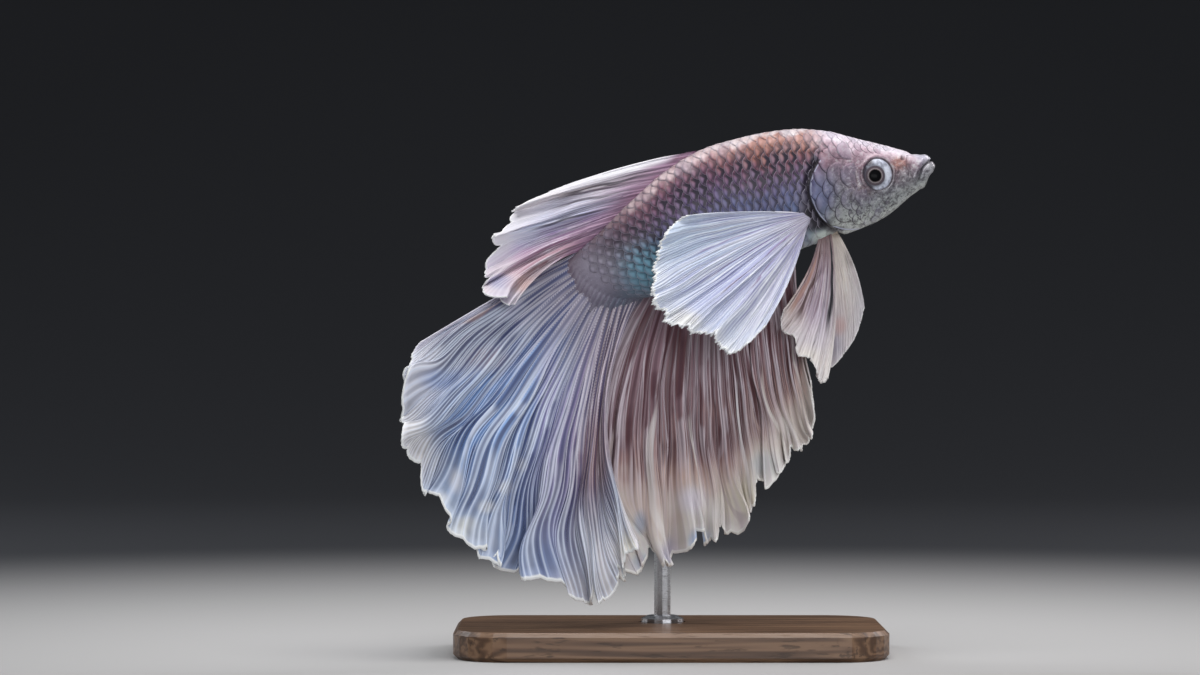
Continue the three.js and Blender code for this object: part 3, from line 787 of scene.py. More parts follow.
# How much wider than its socket the eyeball is, how deep it sits, how far it swells out and in from
# there, and how far it swells out over the pupil.
EYEBALL = {"wider": 1.04, "sunk": 0.34, "front": 0.78, "back": 0.9, "cornea": 0.16}
IRIS_REACH = 3.0
# Rings of the iris: the distance from the pupil's middle in hundredths of IRIS_REACH, then the tint.
IRIS = [
    (0, 0.4, 0.4, 0.5), (26.8, 0.4, 0.4, 0.5), (28.5, 5, 3.5, 3.5), (33.5, 30, 27, 28), (36, 11, 8.5, 10),
    (45, 7.5, 6, 7.5), (50, 34, 36, 42), (60, 74, 78, 92), (100, 40, 43, 54),
]  # fmt: skip


def make_eye(side, name, node):
    """A flattened ball set in the socket: its rim follows the slope of the head, and its front swells
    out over the pupil."""
    around, steps = 72, 40
    out = np.sin(np.linspace(0.02, math.pi / 2, steps))
    ring, angle = np.meshgrid(out, TURN * np.arange(around) / around, indexing="ij")
    dx, dz = ring * np.cos(angle), ring * np.sin(angle)
    x = EYE["at"][0] + EYEBALL["wider"] * EYE["wide"] * dx
    z = EYE["at"][1] + EYEBALL["wider"] * EYE["tall"] * dz
    depth, slope_x, slope_z = socket_plane()
    plane = depth + slope_x * dx + slope_z * dz - EYEBALL["sunk"]
    dome = np.sqrt(1 - 0.999 * ring**2)
    far = np.hypot(x - PUPIL[0], z - PUPIL[1])
    front = plane + EYEBALL["front"] * dome + EYEBALL["cornea"] * bell(far, 1.1)
    back = plane - EYEBALL["back"] * dome
    points = [np.stack([x, side * y, z], axis=-1).reshape(-1, 3) for y in (front, back)]
    points.append([[EYE["at"][0], side * y[0, 0], EYE["at"][1]] for y in (front, back)])

    count = ring.size
    face = grid_faces(steps, around, wrap=True)
    j = count - around + np.arange(around)
    k = np.roll(j, -1)
    seam = np.stack([k + count, j + count, j, k], axis=-1)
    quads = np.concatenate([face, face[:, ::-1] + count, seam])
    caps = [fan_faces(2 * count, 0, around), fan_faces(2 * count + 1, count, around)[:, ::-1]]
    values = {
        "pupil": np.concatenate([far.ravel(), far.ravel() + FAR, [far[0, 0], FAR]]),
        "rim": np.concatenate([ring.ravel(), ring.ravel(), [0, 0]]),
    }
    piece = mesh_piece(name, np.concatenate(points), quads, np.concatenate(caps), values)
    finish_piece(piece, eye_material(), "eye", node)


def socket_plane():
    """Where the head's plain surface lies at the eye: its depth in the middle, and its slopes."""
    s, angle = np.meshgrid(np.linspace(0.12, 0.3, 90), np.linspace(0.2, math.pi - 0.2, 180), indexing="ij")
    points = body_point(s, angle).reshape(-1, 3)
    depths = []
    for dx, dz in ((1, 0), (-1, 0), (0, 1), (0, -1)):
        x, z = EYE["at"][0] + dx * EYE["wide"], EYE["at"][1] + dz * EYE["tall"]
        near = np.argmin((points[:, 0] - x) ** 2 + (points[:, 2] - z) ** 2)
        depths.append(points[near, 1])
    front, rear, top, bottom = depths
    return sum(depths) / 4, (front - rear) / 2, (top - bottom) / 2


@functools.cache
def eye_material():
    """A black pupil with a brown ring, and a silver iris with painted shade at the rear and under the brow
    and a painted highlight in front.
    """
    n = Nodes("wet_eye")
    far = n.attribute("pupil")
    silver = far.spread(1.3, 1.5)
    x, _, z = n.axes
    slant = x + (z - PUPIL[1]) * 0.3 - PUPIL[0]
    # Painted shade on the iris's lower rear side, and the brow's painted shadow over its upper rear.
    rear = slant.spread(-0.35, -1.05, 0, 0.94).math("MAXIMUM", n.spot(27.4, 68.5, 1.5, 1.1))
    colour = n.paint(
        n.ramp((far + n.noise(5.0, 3).spread(0.3, 0.7, -0.015, 0.015)) / IRIS_REACH, IRIS),
        (n.noise(1.9, 4, 0.6).spread(0.42, 0.62, 0, 0.75) * silver, (22, 23, 29)),
        (rear * silver, (5, 4, 5.5)),
        # A painted highlight on the silver at the front.
        (n.spot(30.2, 67.0, 0.9, 1.6) * 0.6 * silver, (86, 90, 100)),
        (n.attribute("rim").spread(0.9, 0.98), (4, 3, 4)),
    )
    return n.surface(
        Base_Color=colour,
        Roughness=0.3,
        Metallic=far.spread(1.5, 1.8) * 0.15,
        Specular_IOR_Level=far.spread(0.8, 1.4, 0.02, 0.3),
        Coat_Weight=far.spread(0.8, 1.4, 0.03, 0.3),
        Coat_Roughness=0.05,
    )


# ---- fins -----------------------------------------------------------------------------------------
# base and tips run from the leading edge to the last ray, as x, z. bow bends the rays in the side view,
# and lean takes their tips aside. The margin has lobes (how many, how deep, how sharp, how uneven) and
# small scallops (how many, how deep). The membrane has broad folds (how many, how deep, how uneven),
# pleats (how many, how deep, where they start across the fan, how much they ease off outwards) and a
# frill (how many waves, how deep, where it starts outwards, how strong its fine ripple is), and soft
# says from where the rays' relief fades, and by how much. lay is how far the folds lie over sideways,
# sway how far the rays wander, and teeth how far their tips stand out of the margin. root is how far
# aside of the middle plane the fin leaves the body, and dip how steeply it comes out there. The higher
# lean_power is, the later the rays turn aside. rays counts the main rays and rows the mesh's.
def new_fin(**own):
    plain = dict(side=1, slot="fin", root=0, dip=0, lean_power=1.1, sway=0.03, teeth=0.002, soft=(1, 0))
    return plain | own


PECTORAL = new_fin(
    base=[(18.3, 61.4), (19.0, 60.4), (18.8, 59.2)],
    tips=[
        (1.2, 60.6), (-2.9, 56.6), (-3.4, 51.6), (-2.6, 47.0),
        (0.6, 44.8), (3.9, 44.0), (7.6, 41.4), (12.3, 45.0),
    ],
    bow=[0.05, 0.04, 0.01, -0.03, -0.09], lean=[9.0, 11.0, 11.5, 10.5, 8.5],
    lobes=(5, 0.06, 0.6, 0.3), scallops=(11, 0.02), folds=(5, 0.55, 0.2),
    pleats=(13, 0.24, 0.5, 0), frill=(7, 0.4, 0.75, 0.3), rays=12, rows=70,
    lay=1.2, sway=0.02, teeth=0.02, root=4.0, dip=25, slot="pectoral_fin",
)  # fmt: skip
VENTRAL = new_fin(
    base=[(22.6, 58.2), (21.6, 58.0), (20.7, 57.9)],
    tips=[(21.4, 36.6), (19.9, 39.0), (17.7, 41.4), (15.6, 44.4), (15.2, 47.4)],
    bow=[-0.1, -0.12, -0.14], lean=[2.6, 2.6, 1.8],
    lobes=(3, 0.08, 1.4, 0.1), scallops=(7, 0.006), folds=(1.5, 0.5, 0),
    pleats=(5, 0.22, 0, 0), frill=(3, 0.5, 0.6, 0.3), rays=4, rows=70,
    lay=1.4, sway=0.04, teeth=0.005, root=1.3, dip=25, slot="ventral_fin",
)  # fmt: skip
FAR_VENTRAL = VENTRAL | dict(
    base=[(23.6, 58.8), (22.8, 58.5), (22.0, 58.2)],
    tips=[(27.5, 47.9), (26.3, 44.2), (24.4, 41.4), (22.5, 39.6), (21.6, 43.4)],
    bow=[-0.12, -0.05, 0.0], lobes=(1, 0.03, 1.0, 0.1),
)  # fmt: skip
FINS = {
    "dorsal_fin": new_fin(
        base=[(2.6, 70.0), (-3.2, 64.8), (-8.2, 60.0), (-12.8, 56.2)],
        tips=[(-15.8, 64.8), (-21.8, 61.8), (-25.0, 57.4), (-25.8, 53.0), (-25.8, 49.8), (-21.8, 48.2)],
        bow=[0.04, 0.04, 0.06, 0.16], lean=[0.8, -0.6, -1.8, -3.4], lean_power=0.8,
        lobes=(7, 0.11, 0.5, 0.35), scallops=(11, 0.035), folds=(4.5, 1.1, 0.2),
        pleats=(11, 0.26, 0.14, 0.6), frill=(6, 0.7, 0.6, 0.3), soft=(0.62, 0.6),
        rays=10, rows=76, lay=1.3, seed=20,
    ),
    "caudal_fin": new_fin(
        base=[(-13.6, 55.6), (-11.6, 52.2), (-8.4, 50.2), (-4.2, 49.9)],
        tips=[
            (-35.2, 43.0), (-37.2, 37.2), (-36.6, 28.6), (-33.0, 21.0), (-27.0, 14.2),
            (-19.8, 10.6), (-11.4, 6.9), (-7.4, 9.4), (-4.2, 15.4),
        ],
        bow=[0.01, 0.08, 0.1, 0.08, 0.11, 0.27], lean=[2.4, 0.6, -0.4, 0.6, -1.2, -3.6], lean_power=1.0,
        lobes=(13, 0.055, 0.6, 0.3), scallops=(27, 0.02), folds=(6, 1.5, 0.18),
        pleats=(19, 0.2, 0, 0), frill=(14, 0.9, 0.66, 0.3),
        rays=18, rows=96, lay=2.3, sway=0.05, seed=30,
    ),
    "anal_fin": new_fin(
        base=[(17.4, 57.0), (11.4, 55.2), (4.4, 52.9), (-3.6, 50.3)],
        tips=[
            (19.8, 37.2), (20.3, 31.6), (18.1, 26.6), (15.2, 24.6), (12.2, 21.0),
            (9.4, 16.2), (5.0, 14.9), (1.4, 12.9), (-2.4, 10.6), (-7.0, 10.2),
        ],
        bow=[0.06, 0.05, 0.08, 0.32], lean=[0.2, 0.6, 1.0, 3.2],
        lobes=(8, 0.09, 0.5, 0.4), scallops=(26, 0.03), folds=(11, 0.95, 0.14),
        pleats=(25, 0.3, 0, 0.8), frill=(7, 1.5, 0.6, 0.7), soft=(0.6, 0.5),
        rays=18, rows=84, lay=1.2, teeth=0.003, seed=40,
    ),
    "pectoral_fin_right": PECTORAL | dict(side=-1, seed=60),
    "pectoral_fin_left": PECTORAL | dict(lean=[7.5, 10.0, 11.5, 11.5, 10.0], seed=70),
    "ventral_fin_right": VENTRAL | dict(side=-1, seed=80),
    "ventral_fin_left": FAR_VENTRAL | dict(seed=90),
}  # fmt: skip
LEAVES_PER_RAY = 8  # a ray forks in two, three times
ACROSS_LEAF = 5  # columns of mesh from one ray tip to the next
FIN_ROOT = -0.06  # the membrane starts inside the body, this share of a ray's length before its base
FORKS = ((0.04, 0.3), (0.2, 0.52), (0.5, 0.8))
BUNCHED = 0.12  # a ray's branches keep this share of their spread before they part
# The membrane's thickness, what its root and its margin add, and how far the rays stand out.
MEMBRANE = {"thick": 0.10, "root": 0.22, "margin": 0.06, "ray": 0.085}


def reach(fin, s):
    """How far a ray reaches, 1 at the top of a lobe of the scalloped margin."""
    count, deep, sharpness, drift = fin["lobes"]
    wave = count * s + drift * np.sin(TURN * 1.6 * s + 0.7)
    lobe = deep * (1 - np.abs(np.sin(math.pi * wave)) ** sharpness)
    count, deep = fin["scallops"]
    wave = count * s + 0.4 * ripple(s * 3, 90)
    scallop = deep * (1 - np.abs(np.sin(math.pi * wave)) ** 0.6)
    return 1 - lobe - scallop - 0.5 * fin["teeth"] * (1 + ripple(s * fin["rays"] * 2.1, 91))


def ray_lines(rays, t, seed):
    """Where the rays' branches run, from 0 to 1 across the fin, for each t: they start bundled and part
    at each fork, unevenly spaced. The fin's two edges come first and last."""
    leaves = rays * LEAVES_PER_RAY
    leaf = np.arange(leaves)
    line = (leaf + 0.5) / leaves
    middles = [((leaf // size + 0.5) * size) / leaves for size in (8, 4, 2)]
    nested = [middles[1] - middles[0], middles[2] - middles[1], line - middles[2]]
    opened = [BUNCHED + (1 - BUNCHED) * smooth(low, high, t)[:, None] for low, high in FORKS]
    lines = middles[0] + sum(part * share for part, share in zip(nested, opened))
    uneven = 0.5 / (TURN * rays) * ripple(lines * rays, seed, ((0.6, 1.0), (1.3, 0.6)))
    lines = lines + uneven * smooth(0, 0.05, lines) * smooth(0, 0.05, 1 - lines)
    edge = np.zeros((len(t), 1))
    return np.concatenate([edge, lines, edge + 1], axis=1)


def fin_lift(fin, s, t):
    """How far the membrane stands off the fin's plain sheet, and how near each place is to a pleat's top
    on the right side: 1 on the top and -1 in the valley."""
    seed, out = fin["seed"], np.maximum(t, 0)
    count, deep, drift = fin["folds"]
    sway = drift * np.sin(TURN * 1.3 * s) + 0.22 * out * ripple(s * 2.5, seed + 5)
    fold = deep * out**1.2 * np.sin(TURN * (count * s + sway))
    count, deep, start, ease = fin["pleats"]
    wave = count * s + 0.35 * ripple(s * 2.0 + 0.25 * t, seed)
    crest = 1 - 2 * np.abs(np.sin(math.pi * wave)) ** 0.8
    pleat = -deep * smooth(0, 0.5, out) * crest * (0.75 + 0.5 * ripple(s * 3, seed + 1))
    pleat = pleat * smooth(0.5 * start, start + 0.1, s) * (1 - ease * smooth(0.5, 0.85, out))
    count, deep, start, fine = fin["frill"]
    wave = count * s + 0.35 * ripple(s * 4, seed + 2)
    ruffle = smooth(start, 1, out) ** 1.5 * deep * (0.7 + 0.5 * ripple(s * 5, seed + 3))
    small = fine * smooth(0.72, 1, out) * np.sin(TURN * (2.7 * wave + 0.3 * out))
    return fold + pleat + ruffle * (np.sin(TURN * wave) + small), crest


def fin_surface(fin, s, t):
    """The membrane's middle surface, with what fin_lift gives. The folds lie over sideways, so that
    they overlap."""
    lift, crest = fin_lift(fin, s, t)
    out = np.maximum(t, 0)
    inner, outer = (arc_lengths(np.array(fin[key]))[-1] for key in ("base", "tips"))
    width = inner + (outer - inner) * out
    calm = smooth(0, 0.07, s) * smooth(0, 0.07, 1 - s)
    sway = fin["sway"] * out**1.4 * ripple(1.2 * s + 0.6 * t, fin["seed"] + 7)
    laid = s + calm * (sway + fin["lay"] * ripple(s * 1.7, fin["seed"] + 4) * lift / width)
    laid = np.clip(laid, 0, 1)
    bx, bz = np.moveaxis(along(fin["base"], laid), -1, 0)
    tx, tz = np.moveaxis(along(fin["tips"], laid), -1, 0)
    bow = number(fin["bow"], laid)
    mx, mz = (bx + tx) / 2 + (tz - bz) * bow, (bz + tz) / 2 - (tx - bx) * bow
    tooth = np.abs(np.cos(math.pi * s * fin["rays"] * LEAVES_PER_RAY))
    r = t * reach(fin, s) * (1 - fin["teeth"] * tooth * smooth(0.8, 1, t))
    x = (1 - r) ** 2 * bx + 2 * r * (1 - r) * mx + r * r * tx
    z = (1 - r) ** 2 * bz + 2 * r * (1 - r) * mz + r * r * tz
    hang = number(fin["lean"], laid) * out ** fin["lean_power"]
    across = fin["side"] * (fin["root"] + hang + fin["dip"] * np.minimum(t, 0))
    return np.stack([x, swing(x, z) + across + lift, z], axis=-1), lift, crest


def sheet_piece(name, middle, half, values, material, slot, node):
    """A thin closed sheet round a grid of middle points. half is its thickness to each side."""
    normal = unit(np.cross(np.gradient(middle, axis=1), np.gradient(middle, axis=0)))
    points = np.stack([middle + normal * half[..., None], middle - normal * half[..., None]])
    quads = sheet_faces(*half.shape)
    both = {key: np.stack([numbers, numbers]) for key, numbers in values.items()}
    over, beside = np.meshgrid(*(np.linspace(0, 1, count) for count in half.shape), indexing="ij")
    flat = np.stack([0.01 + 0.47 * beside, 0.01 + 0.98 * over], axis=-1).reshape(-1, 2)
    uv = np.concatenate([flat, flat + [0.51, 0]])[quads.ravel()]
    finish_piece(mesh_piece(name, points, quads, values=both, uv=uv), material, slot, node)


def make_fin(name, fin):
    """A fin's membrane, thicker at its root and its margin, with raised rays that fork outwards."""
    t = FIN_ROOT + (1 - FIN_ROOT) * np.linspace(0, 1, fin["rows"] + 1) ** 0.9
    lines = ray_lines(fin["rays"], t, fin["seed"] + 6)
    part = np.arange(ACROSS_LEAF) / ACROSS_LEAF
    s = lines[:, :-1, None] + np.diff(lines, axis=1)[..., None] * part
    s = np.concatenate([s.reshape(len(t), -1), np.ones((len(t), 1))], axis=1)
    t = np.repeat(t[:, None], s.shape[1], axis=1)
    middle, lift, crest = fin_surface(fin, s, t)
    width = np.linalg.norm(np.gradient(middle, axis=1), axis=-1) * ACROSS_LEAF
    start, share = fin["soft"]
    ray = (0.5 + 0.5 * np.cos(TURN * np.append(np.tile(part, lines.shape[1] - 1), 0.0))) ** 2
    ray = 1 - (1 - ray) * smooth(0.04, 0.22, width) * (1 - share * smooth(start, start + 0.24, t))
    thick = MEMBRANE["thick"] + MEMBRANE["root"] * (1 - smooth(FIN_ROOT, 0.35, t))
    thick = thick + MEMBRANE["margin"] * smooth(0.975, 1, t)
    relief = MEMBRANE["ray"] * ray * np.minimum(1, width / 0.4) * (1 - 0.4 * smooth(0.9, 1, t))
    column = np.arange(s.shape[1])
    leaf = np.broadcast_to(column // ACROSS_LEAF / (s.shape[1] / ACROSS_LEAF), s.shape)
    values = {"out": t, "fan": s, "ray": ray, "fold": lift, "crest": crest, "leaf": leaf}
    look = name if name in FIN_LOOKS else fin["slot"]
    sheet_piece(name + "_veil", middle, thick / 2 + relief, values, fin_material(look), fin["slot"], name)


# Colours of each fin. out and fan are tints outwards from the body and across the fan, and fan has
# fan_share of the colour. patches are as for the body. stripes run along the rays: the place across the
# fan, the half width, where they begin and end outwards, the share and the tint. deep and pale are the
# tint and share of streaks along the rays, late has both tints for the last rays, and root_pale is pale
# near the body. inner says where the streaks are down to their least, where they are full, and that
# least. They weaken in the calm ovals too. valley lies between the rays, ray_share is how pale the rays
# are, joints how clearly their joints show, margin the tint of the rim, and clear how far the outer
# membrane is see-through.
FIN_LOOKS = {
    "dorsal_fin": dict(
        out=[
            (0, 24, 11, 18), (25, 38, 26, 36), (50, 58, 56, 68), (70, 84, 82, 90), (85, 95, 94, 97),
            (100, 96, 95, 97),
        ],
        fan=[
            (0, 96, 95, 98), (13, 92, 90, 95), (18, 68, 55, 52), (28, 58, 57, 70), (42, 60, 67, 88),
            (52, 32, 20, 46), (64, 40, 16, 32), (76, 56, 32, 40), (88, 58, 34, 32), (100, 28, 13, 12),
        ],
        patches=[
            (-23.2, 51.6, 3, 1.6, 0.8, (24, 28, 52)), (-20, 51.4, 4.5, 1.6, 0.5, (72, 44, 38)),
            (-24.2, 57.6, 3, 3, 0.6, (80, 78, 80)), (-23.4, 49.6, 3.6, 1.8, 0.7, (62, 58, 74)),
            (-19, 57.6, 4, 1.8, 0.5, (46, 50, 62)),
        ],
        stripes=[
            (0.02, 0.13, 0.15, 1.2, 0.8, (92, 92, 96)), (0.2, 0.014, 0.2, 0.7, 0.8, (9, 8, 10)),
            (0.3, 0.012, 0.2, 0.66, 0.7, (10, 9, 11)), (0.44, 0.012, 0.25, 0.72, 0.8, (5, 5, 8)),
        ],
        deep=((7, 5, 9), 0.5), pale=((86, 82, 90), 0.6), valley=((16, 9, 16), 0.35),
        root_pale=(46, 30, 44), margin=(95, 95, 97), inner=(0.78, 0.4, 0.06), fan_share=0.85,
        ray_share=0.4, clear=0.2,
    ),
    "caudal_fin": dict(
        out=[
            (0, 14, 12, 15), (24, 17, 15, 21), (42, 22, 27, 48), (70, 26, 38, 66), (86, 38, 47, 64),
            (100, 72, 76, 78),
        ],
        fan=[
            (0, 74, 62, 68), (7, 56, 44, 46), (14, 56, 54, 58), (24, 48, 52, 66), (34, 26, 40, 72),
            (48, 26, 42, 74), (58, 34, 40, 66), (66, 36, 28, 48), (76, 27, 18, 24), (92, 28, 18, 19),
            (100, 44, 36, 38),
        ],
        patches=[
            (-34.6, 38.6, 9, 7, 0.95, (90, 91, 100)), (-31.2, 38.4, 4.4, 2.2, 0.8, (38, 52, 88)),
            (-35.6, 29, 6, 8, 0.9, (90, 87, 86)), (-25.2, 41.2, 5, 2.6, 0.6, (50, 36, 32)),
            (-21.4, 47.6, 2.3, 2.8, 0.75, (66, 63, 80)), (-26.6, 33.4, 8, 8, 0.85, (27, 47, 88)),
            (-29, 17.6, 2.6, 1.7, 0.6, (80, 82, 76)), (-26.2, 22, 4.6, 3, 0.8, (13, 19, 36)),
            (-21.4, 13.2, 9, 4.6, 0.75, (15, 25, 50)), (-29.4, 24.6, 1.6, 2.6, 0.6, (78, 76, 78)),
            (-32, 22.2, 2.4, 1.4, 0.6, (84, 82, 76)), (-20.6, 26.6, 1.3, 1.5, 0.7, (90, 90, 90)),
            (-22.8, 23.6, 1.6, 1.5, 0.65, (86, 85, 82)), (-25.2, 21, 1.8, 1.4, 0.65, (84, 83, 78)),
            (-28, 18.8, 2.2, 1.4, 0.65, (84, 84, 78)), (-16.8, 35, 2.6, 12, 0.6, (44, 36, 64)),
            (-11, 28.4, 3.4, 8, 0.6, (40, 21, 17)), (-9.6, 16, 7, 8, 0.95, (90, 88, 92)),
            (-5, 15, 3.4, 4, 0.8, (92, 88, 74)),
        ],
        stripes=[
            (0, 0.035, 0.35, 1.2, 0.75, (86, 84, 94)), (0.1, 0.022, 0.3, 0.9, 0.6, (46, 30, 27)),
            (1, 0.02, 0.5, 1.2, 0.9, (92, 90, 94)),
        ],
        calm=[(-35, 38, 7, 6), (-36, 29.5, 5, 6), (-5.6, 14.6, 4, 4)],
        late=((7, 3, 4), (62, 53, 60)),
        deep=((4, 6, 17), 0.75), pale=((78, 86, 100), 0.75), valley=((4, 5, 14), 0.6),
        root_pale=(36, 33, 40), margin=(90, 92, 92), inner=(1, 0.75, 0.4), fan_share=0.78, ray_share=0.55,
        clear=0.4, joints=0.34,
    ),
    "anal_fin": dict(
        out=[
            (0, 20, 14, 17), (25, 26, 15, 18), (54, 30, 17, 18), (64, 54, 32, 28), (74, 82, 64, 56),
            (87, 90, 85, 76), (100, 92, 93, 89),
        ],
        fan=[
            (0, 66, 56, 52), (14, 48, 32, 32), (28, 32, 20, 22), (50, 27, 21, 24), (70, 26, 19, 22),
            (85, 24, 19, 24), (100, 28, 24, 31),
        ],
        patches=[
            (5.6, 30, 8, 4, 0.75, (25, 15.5, 17)), (12, 33, 4.5, 5, 0.6, (25, 16, 18)),
            (0.6, 25.2, 5, 3, 0.6, (74, 54, 46)), (-3.6, 21, 3.4, 5, 0.5, (78, 62, 54)),
            (3, 21.6, 2.9, 2.6, 0.75, (84, 80, 90)), (10.4, 21.6, 4.8, 3.8, 0.7, (80, 76, 60)),
            (13, 26.6, 2.4, 2.4, 0.5, (56, 62, 66)), (3.9, 15.8, 2, 2.4, 0.95, (36, 56, 86)),
            (-4.2, 18.4, 1.3, 2.4, 0.7, (42, 54, 70)), (-0.2, 14.2, 1.8, 3, 0.6, (56, 54, 70)),
            (-3.6, 12.6, 2.6, 2.2, 0.85, (34, 42, 52)), (18.4, 33, 2.6, 4, 0.6, (80, 74, 66)),
        ],
        stripes=[
            (0.14, 0.009, 0.5, 1.1, 0.6, (92, 89, 84)), (0.31, 0.007, 0.6, 1.1, 0.6, (92, 89, 84)),
            (0.4, 0.006, 0.66, 1, 0.5, (56, 42, 38)), (0.48, 0.009, 0.55, 1.1, 0.7, (93, 92, 93)),
            (0.57, 0.006, 0.66, 1.1, 0.5, (50, 42, 46)), (0.66, 0.008, 0.6, 1.1, 0.6, (92, 89, 86)),
            (0.79, 0.008, 0.5, 1.1, 0.6, (90, 86, 84)), (0.9, 0.01, 0.55, 1.1, 0.5, (60, 50, 46)),
        ],
        deep=((8.5, 2.5, 3), 0.9), pale=((70, 62, 68), 0.8), valley=((8, 4, 5.5), 0.5),
        root_pale=(42, 36, 40), margin=(96, 96, 93), inner=(0.82, 0.6, 0.3), fan_share=0.35, ray_share=0.3,
        clear=0.3,
    ),
    "pectoral_fin": dict(
        out=[(0, 36, 32, 38), (15, 50, 50, 60), (50, 54, 60, 78), (85, 64, 71, 88), (100, 82, 86, 93)],
        fan=[
            (0, 84, 90, 100), (20, 72, 86, 100), (50, 56, 63, 84), (70, 60, 64, 76), (85, 80, 78, 68),
            (100, 64, 70, 82),
        ],
        patches=[(1.4, 46.6, 3.6, 2.4, 0.6, (80, 78, 66)), (2, 57.4, 9, 5, 0.6, (66, 82, 100))],
        stripes=[
            (0.24, 0.008, 0.08, 0.75, 0.6, (28, 20, 42)), (0.4, 0.008, 0.05, 0.6, 0.7, (24, 15, 32)),
            (0.56, 0.01, 0.05, 0.7, 0.7, (24, 15, 30)), (0.7, 0.01, 0.05, 0.6, 0.7, (22, 13, 28)),
        ],
        deep=((26, 26, 52), 0.45), pale=((90, 92, 97), 0.6), valley=((22, 20, 42), 0.3),
        root_pale=(74, 74, 84), margin=(95, 97, 98), inner=(1, 0.6, 0.25), fan_share=0.55, ray_share=0.45,
        clear=0.1,
    ),
    "ventral_fin_right": dict(
        out=[(0, 24, 15, 15), (30, 50, 38, 41), (60, 72, 62, 64), (76, 90, 85, 80), (100, 94, 92, 90)],
        fan=[
            (0, 94, 90, 86), (16, 72, 68, 74), (31, 56, 50, 64), (60, 54, 45, 56), (78, 46, 31, 34),
            (100, 58, 40, 37),
        ],
        patches=[(18.8, 41, 3.6, 3, 0.8, (94, 89, 82))],
        stripes=[
            (0.2, 0.05, 0.05, 0.66, 0.97, (1.2, 1.2, 1.8)), (0.34, 0.02, 0.3, 0.56, 0.7, (5, 3, 6)),
            (0.72, 0.03, 0.12, 0.8, 0.85, (6, 2.2, 1.8)), (0.82, 0.035, 0.2, 0.85, 0.55, (42, 20, 12)),
            (0.92, 0.035, 0.12, 0.9, 0.9, (5.5, 2.2, 1.8)),
        ],
        deep=((10, 5, 7), 0.5), pale=((78, 72, 74), 0.5), valley=((26, 16, 16), 0.35),
        root_pale=(50, 42, 42), margin=(92, 90, 88), inner=(0.8, 0.5, 0.1), fan_share=0.8, ray_share=0.12,
        clear=0.1,
    ),
    "ventral_fin_left": dict(
        out=[(0, 54, 46, 36), (30, 78, 72, 66), (70, 70, 66, 70), (100, 86, 84, 88)],
        fan=[(0, 78, 77, 78), (40, 80, 71, 66), (70, 52, 46, 52), (100, 62, 54, 58)],
        patches=[
            (23.4, 52.6, 2.4, 5, 0.7, (96, 88, 76)), (25.4, 55.4, 1.2, 2.2, 0.7, (14, 11, 9)),
            (23, 43, 2.2, 3.2, 0.7, (42, 39, 48)), (23.9, 45.8, 1.5, 2, 0.6, (62, 36, 33)),
        ],
        deep=((50, 42, 44), 0.4), pale=((90, 88, 86), 0.6), valley=((62, 54, 52), 0.25),
        root_pale=(86, 80, 74), margin=(92, 92, 92), inner=(0.8, 0.5, 0.1), fan_share=0.6, ray_share=0.2,
        clear=0.2,
    ),
}  # fmt: skip


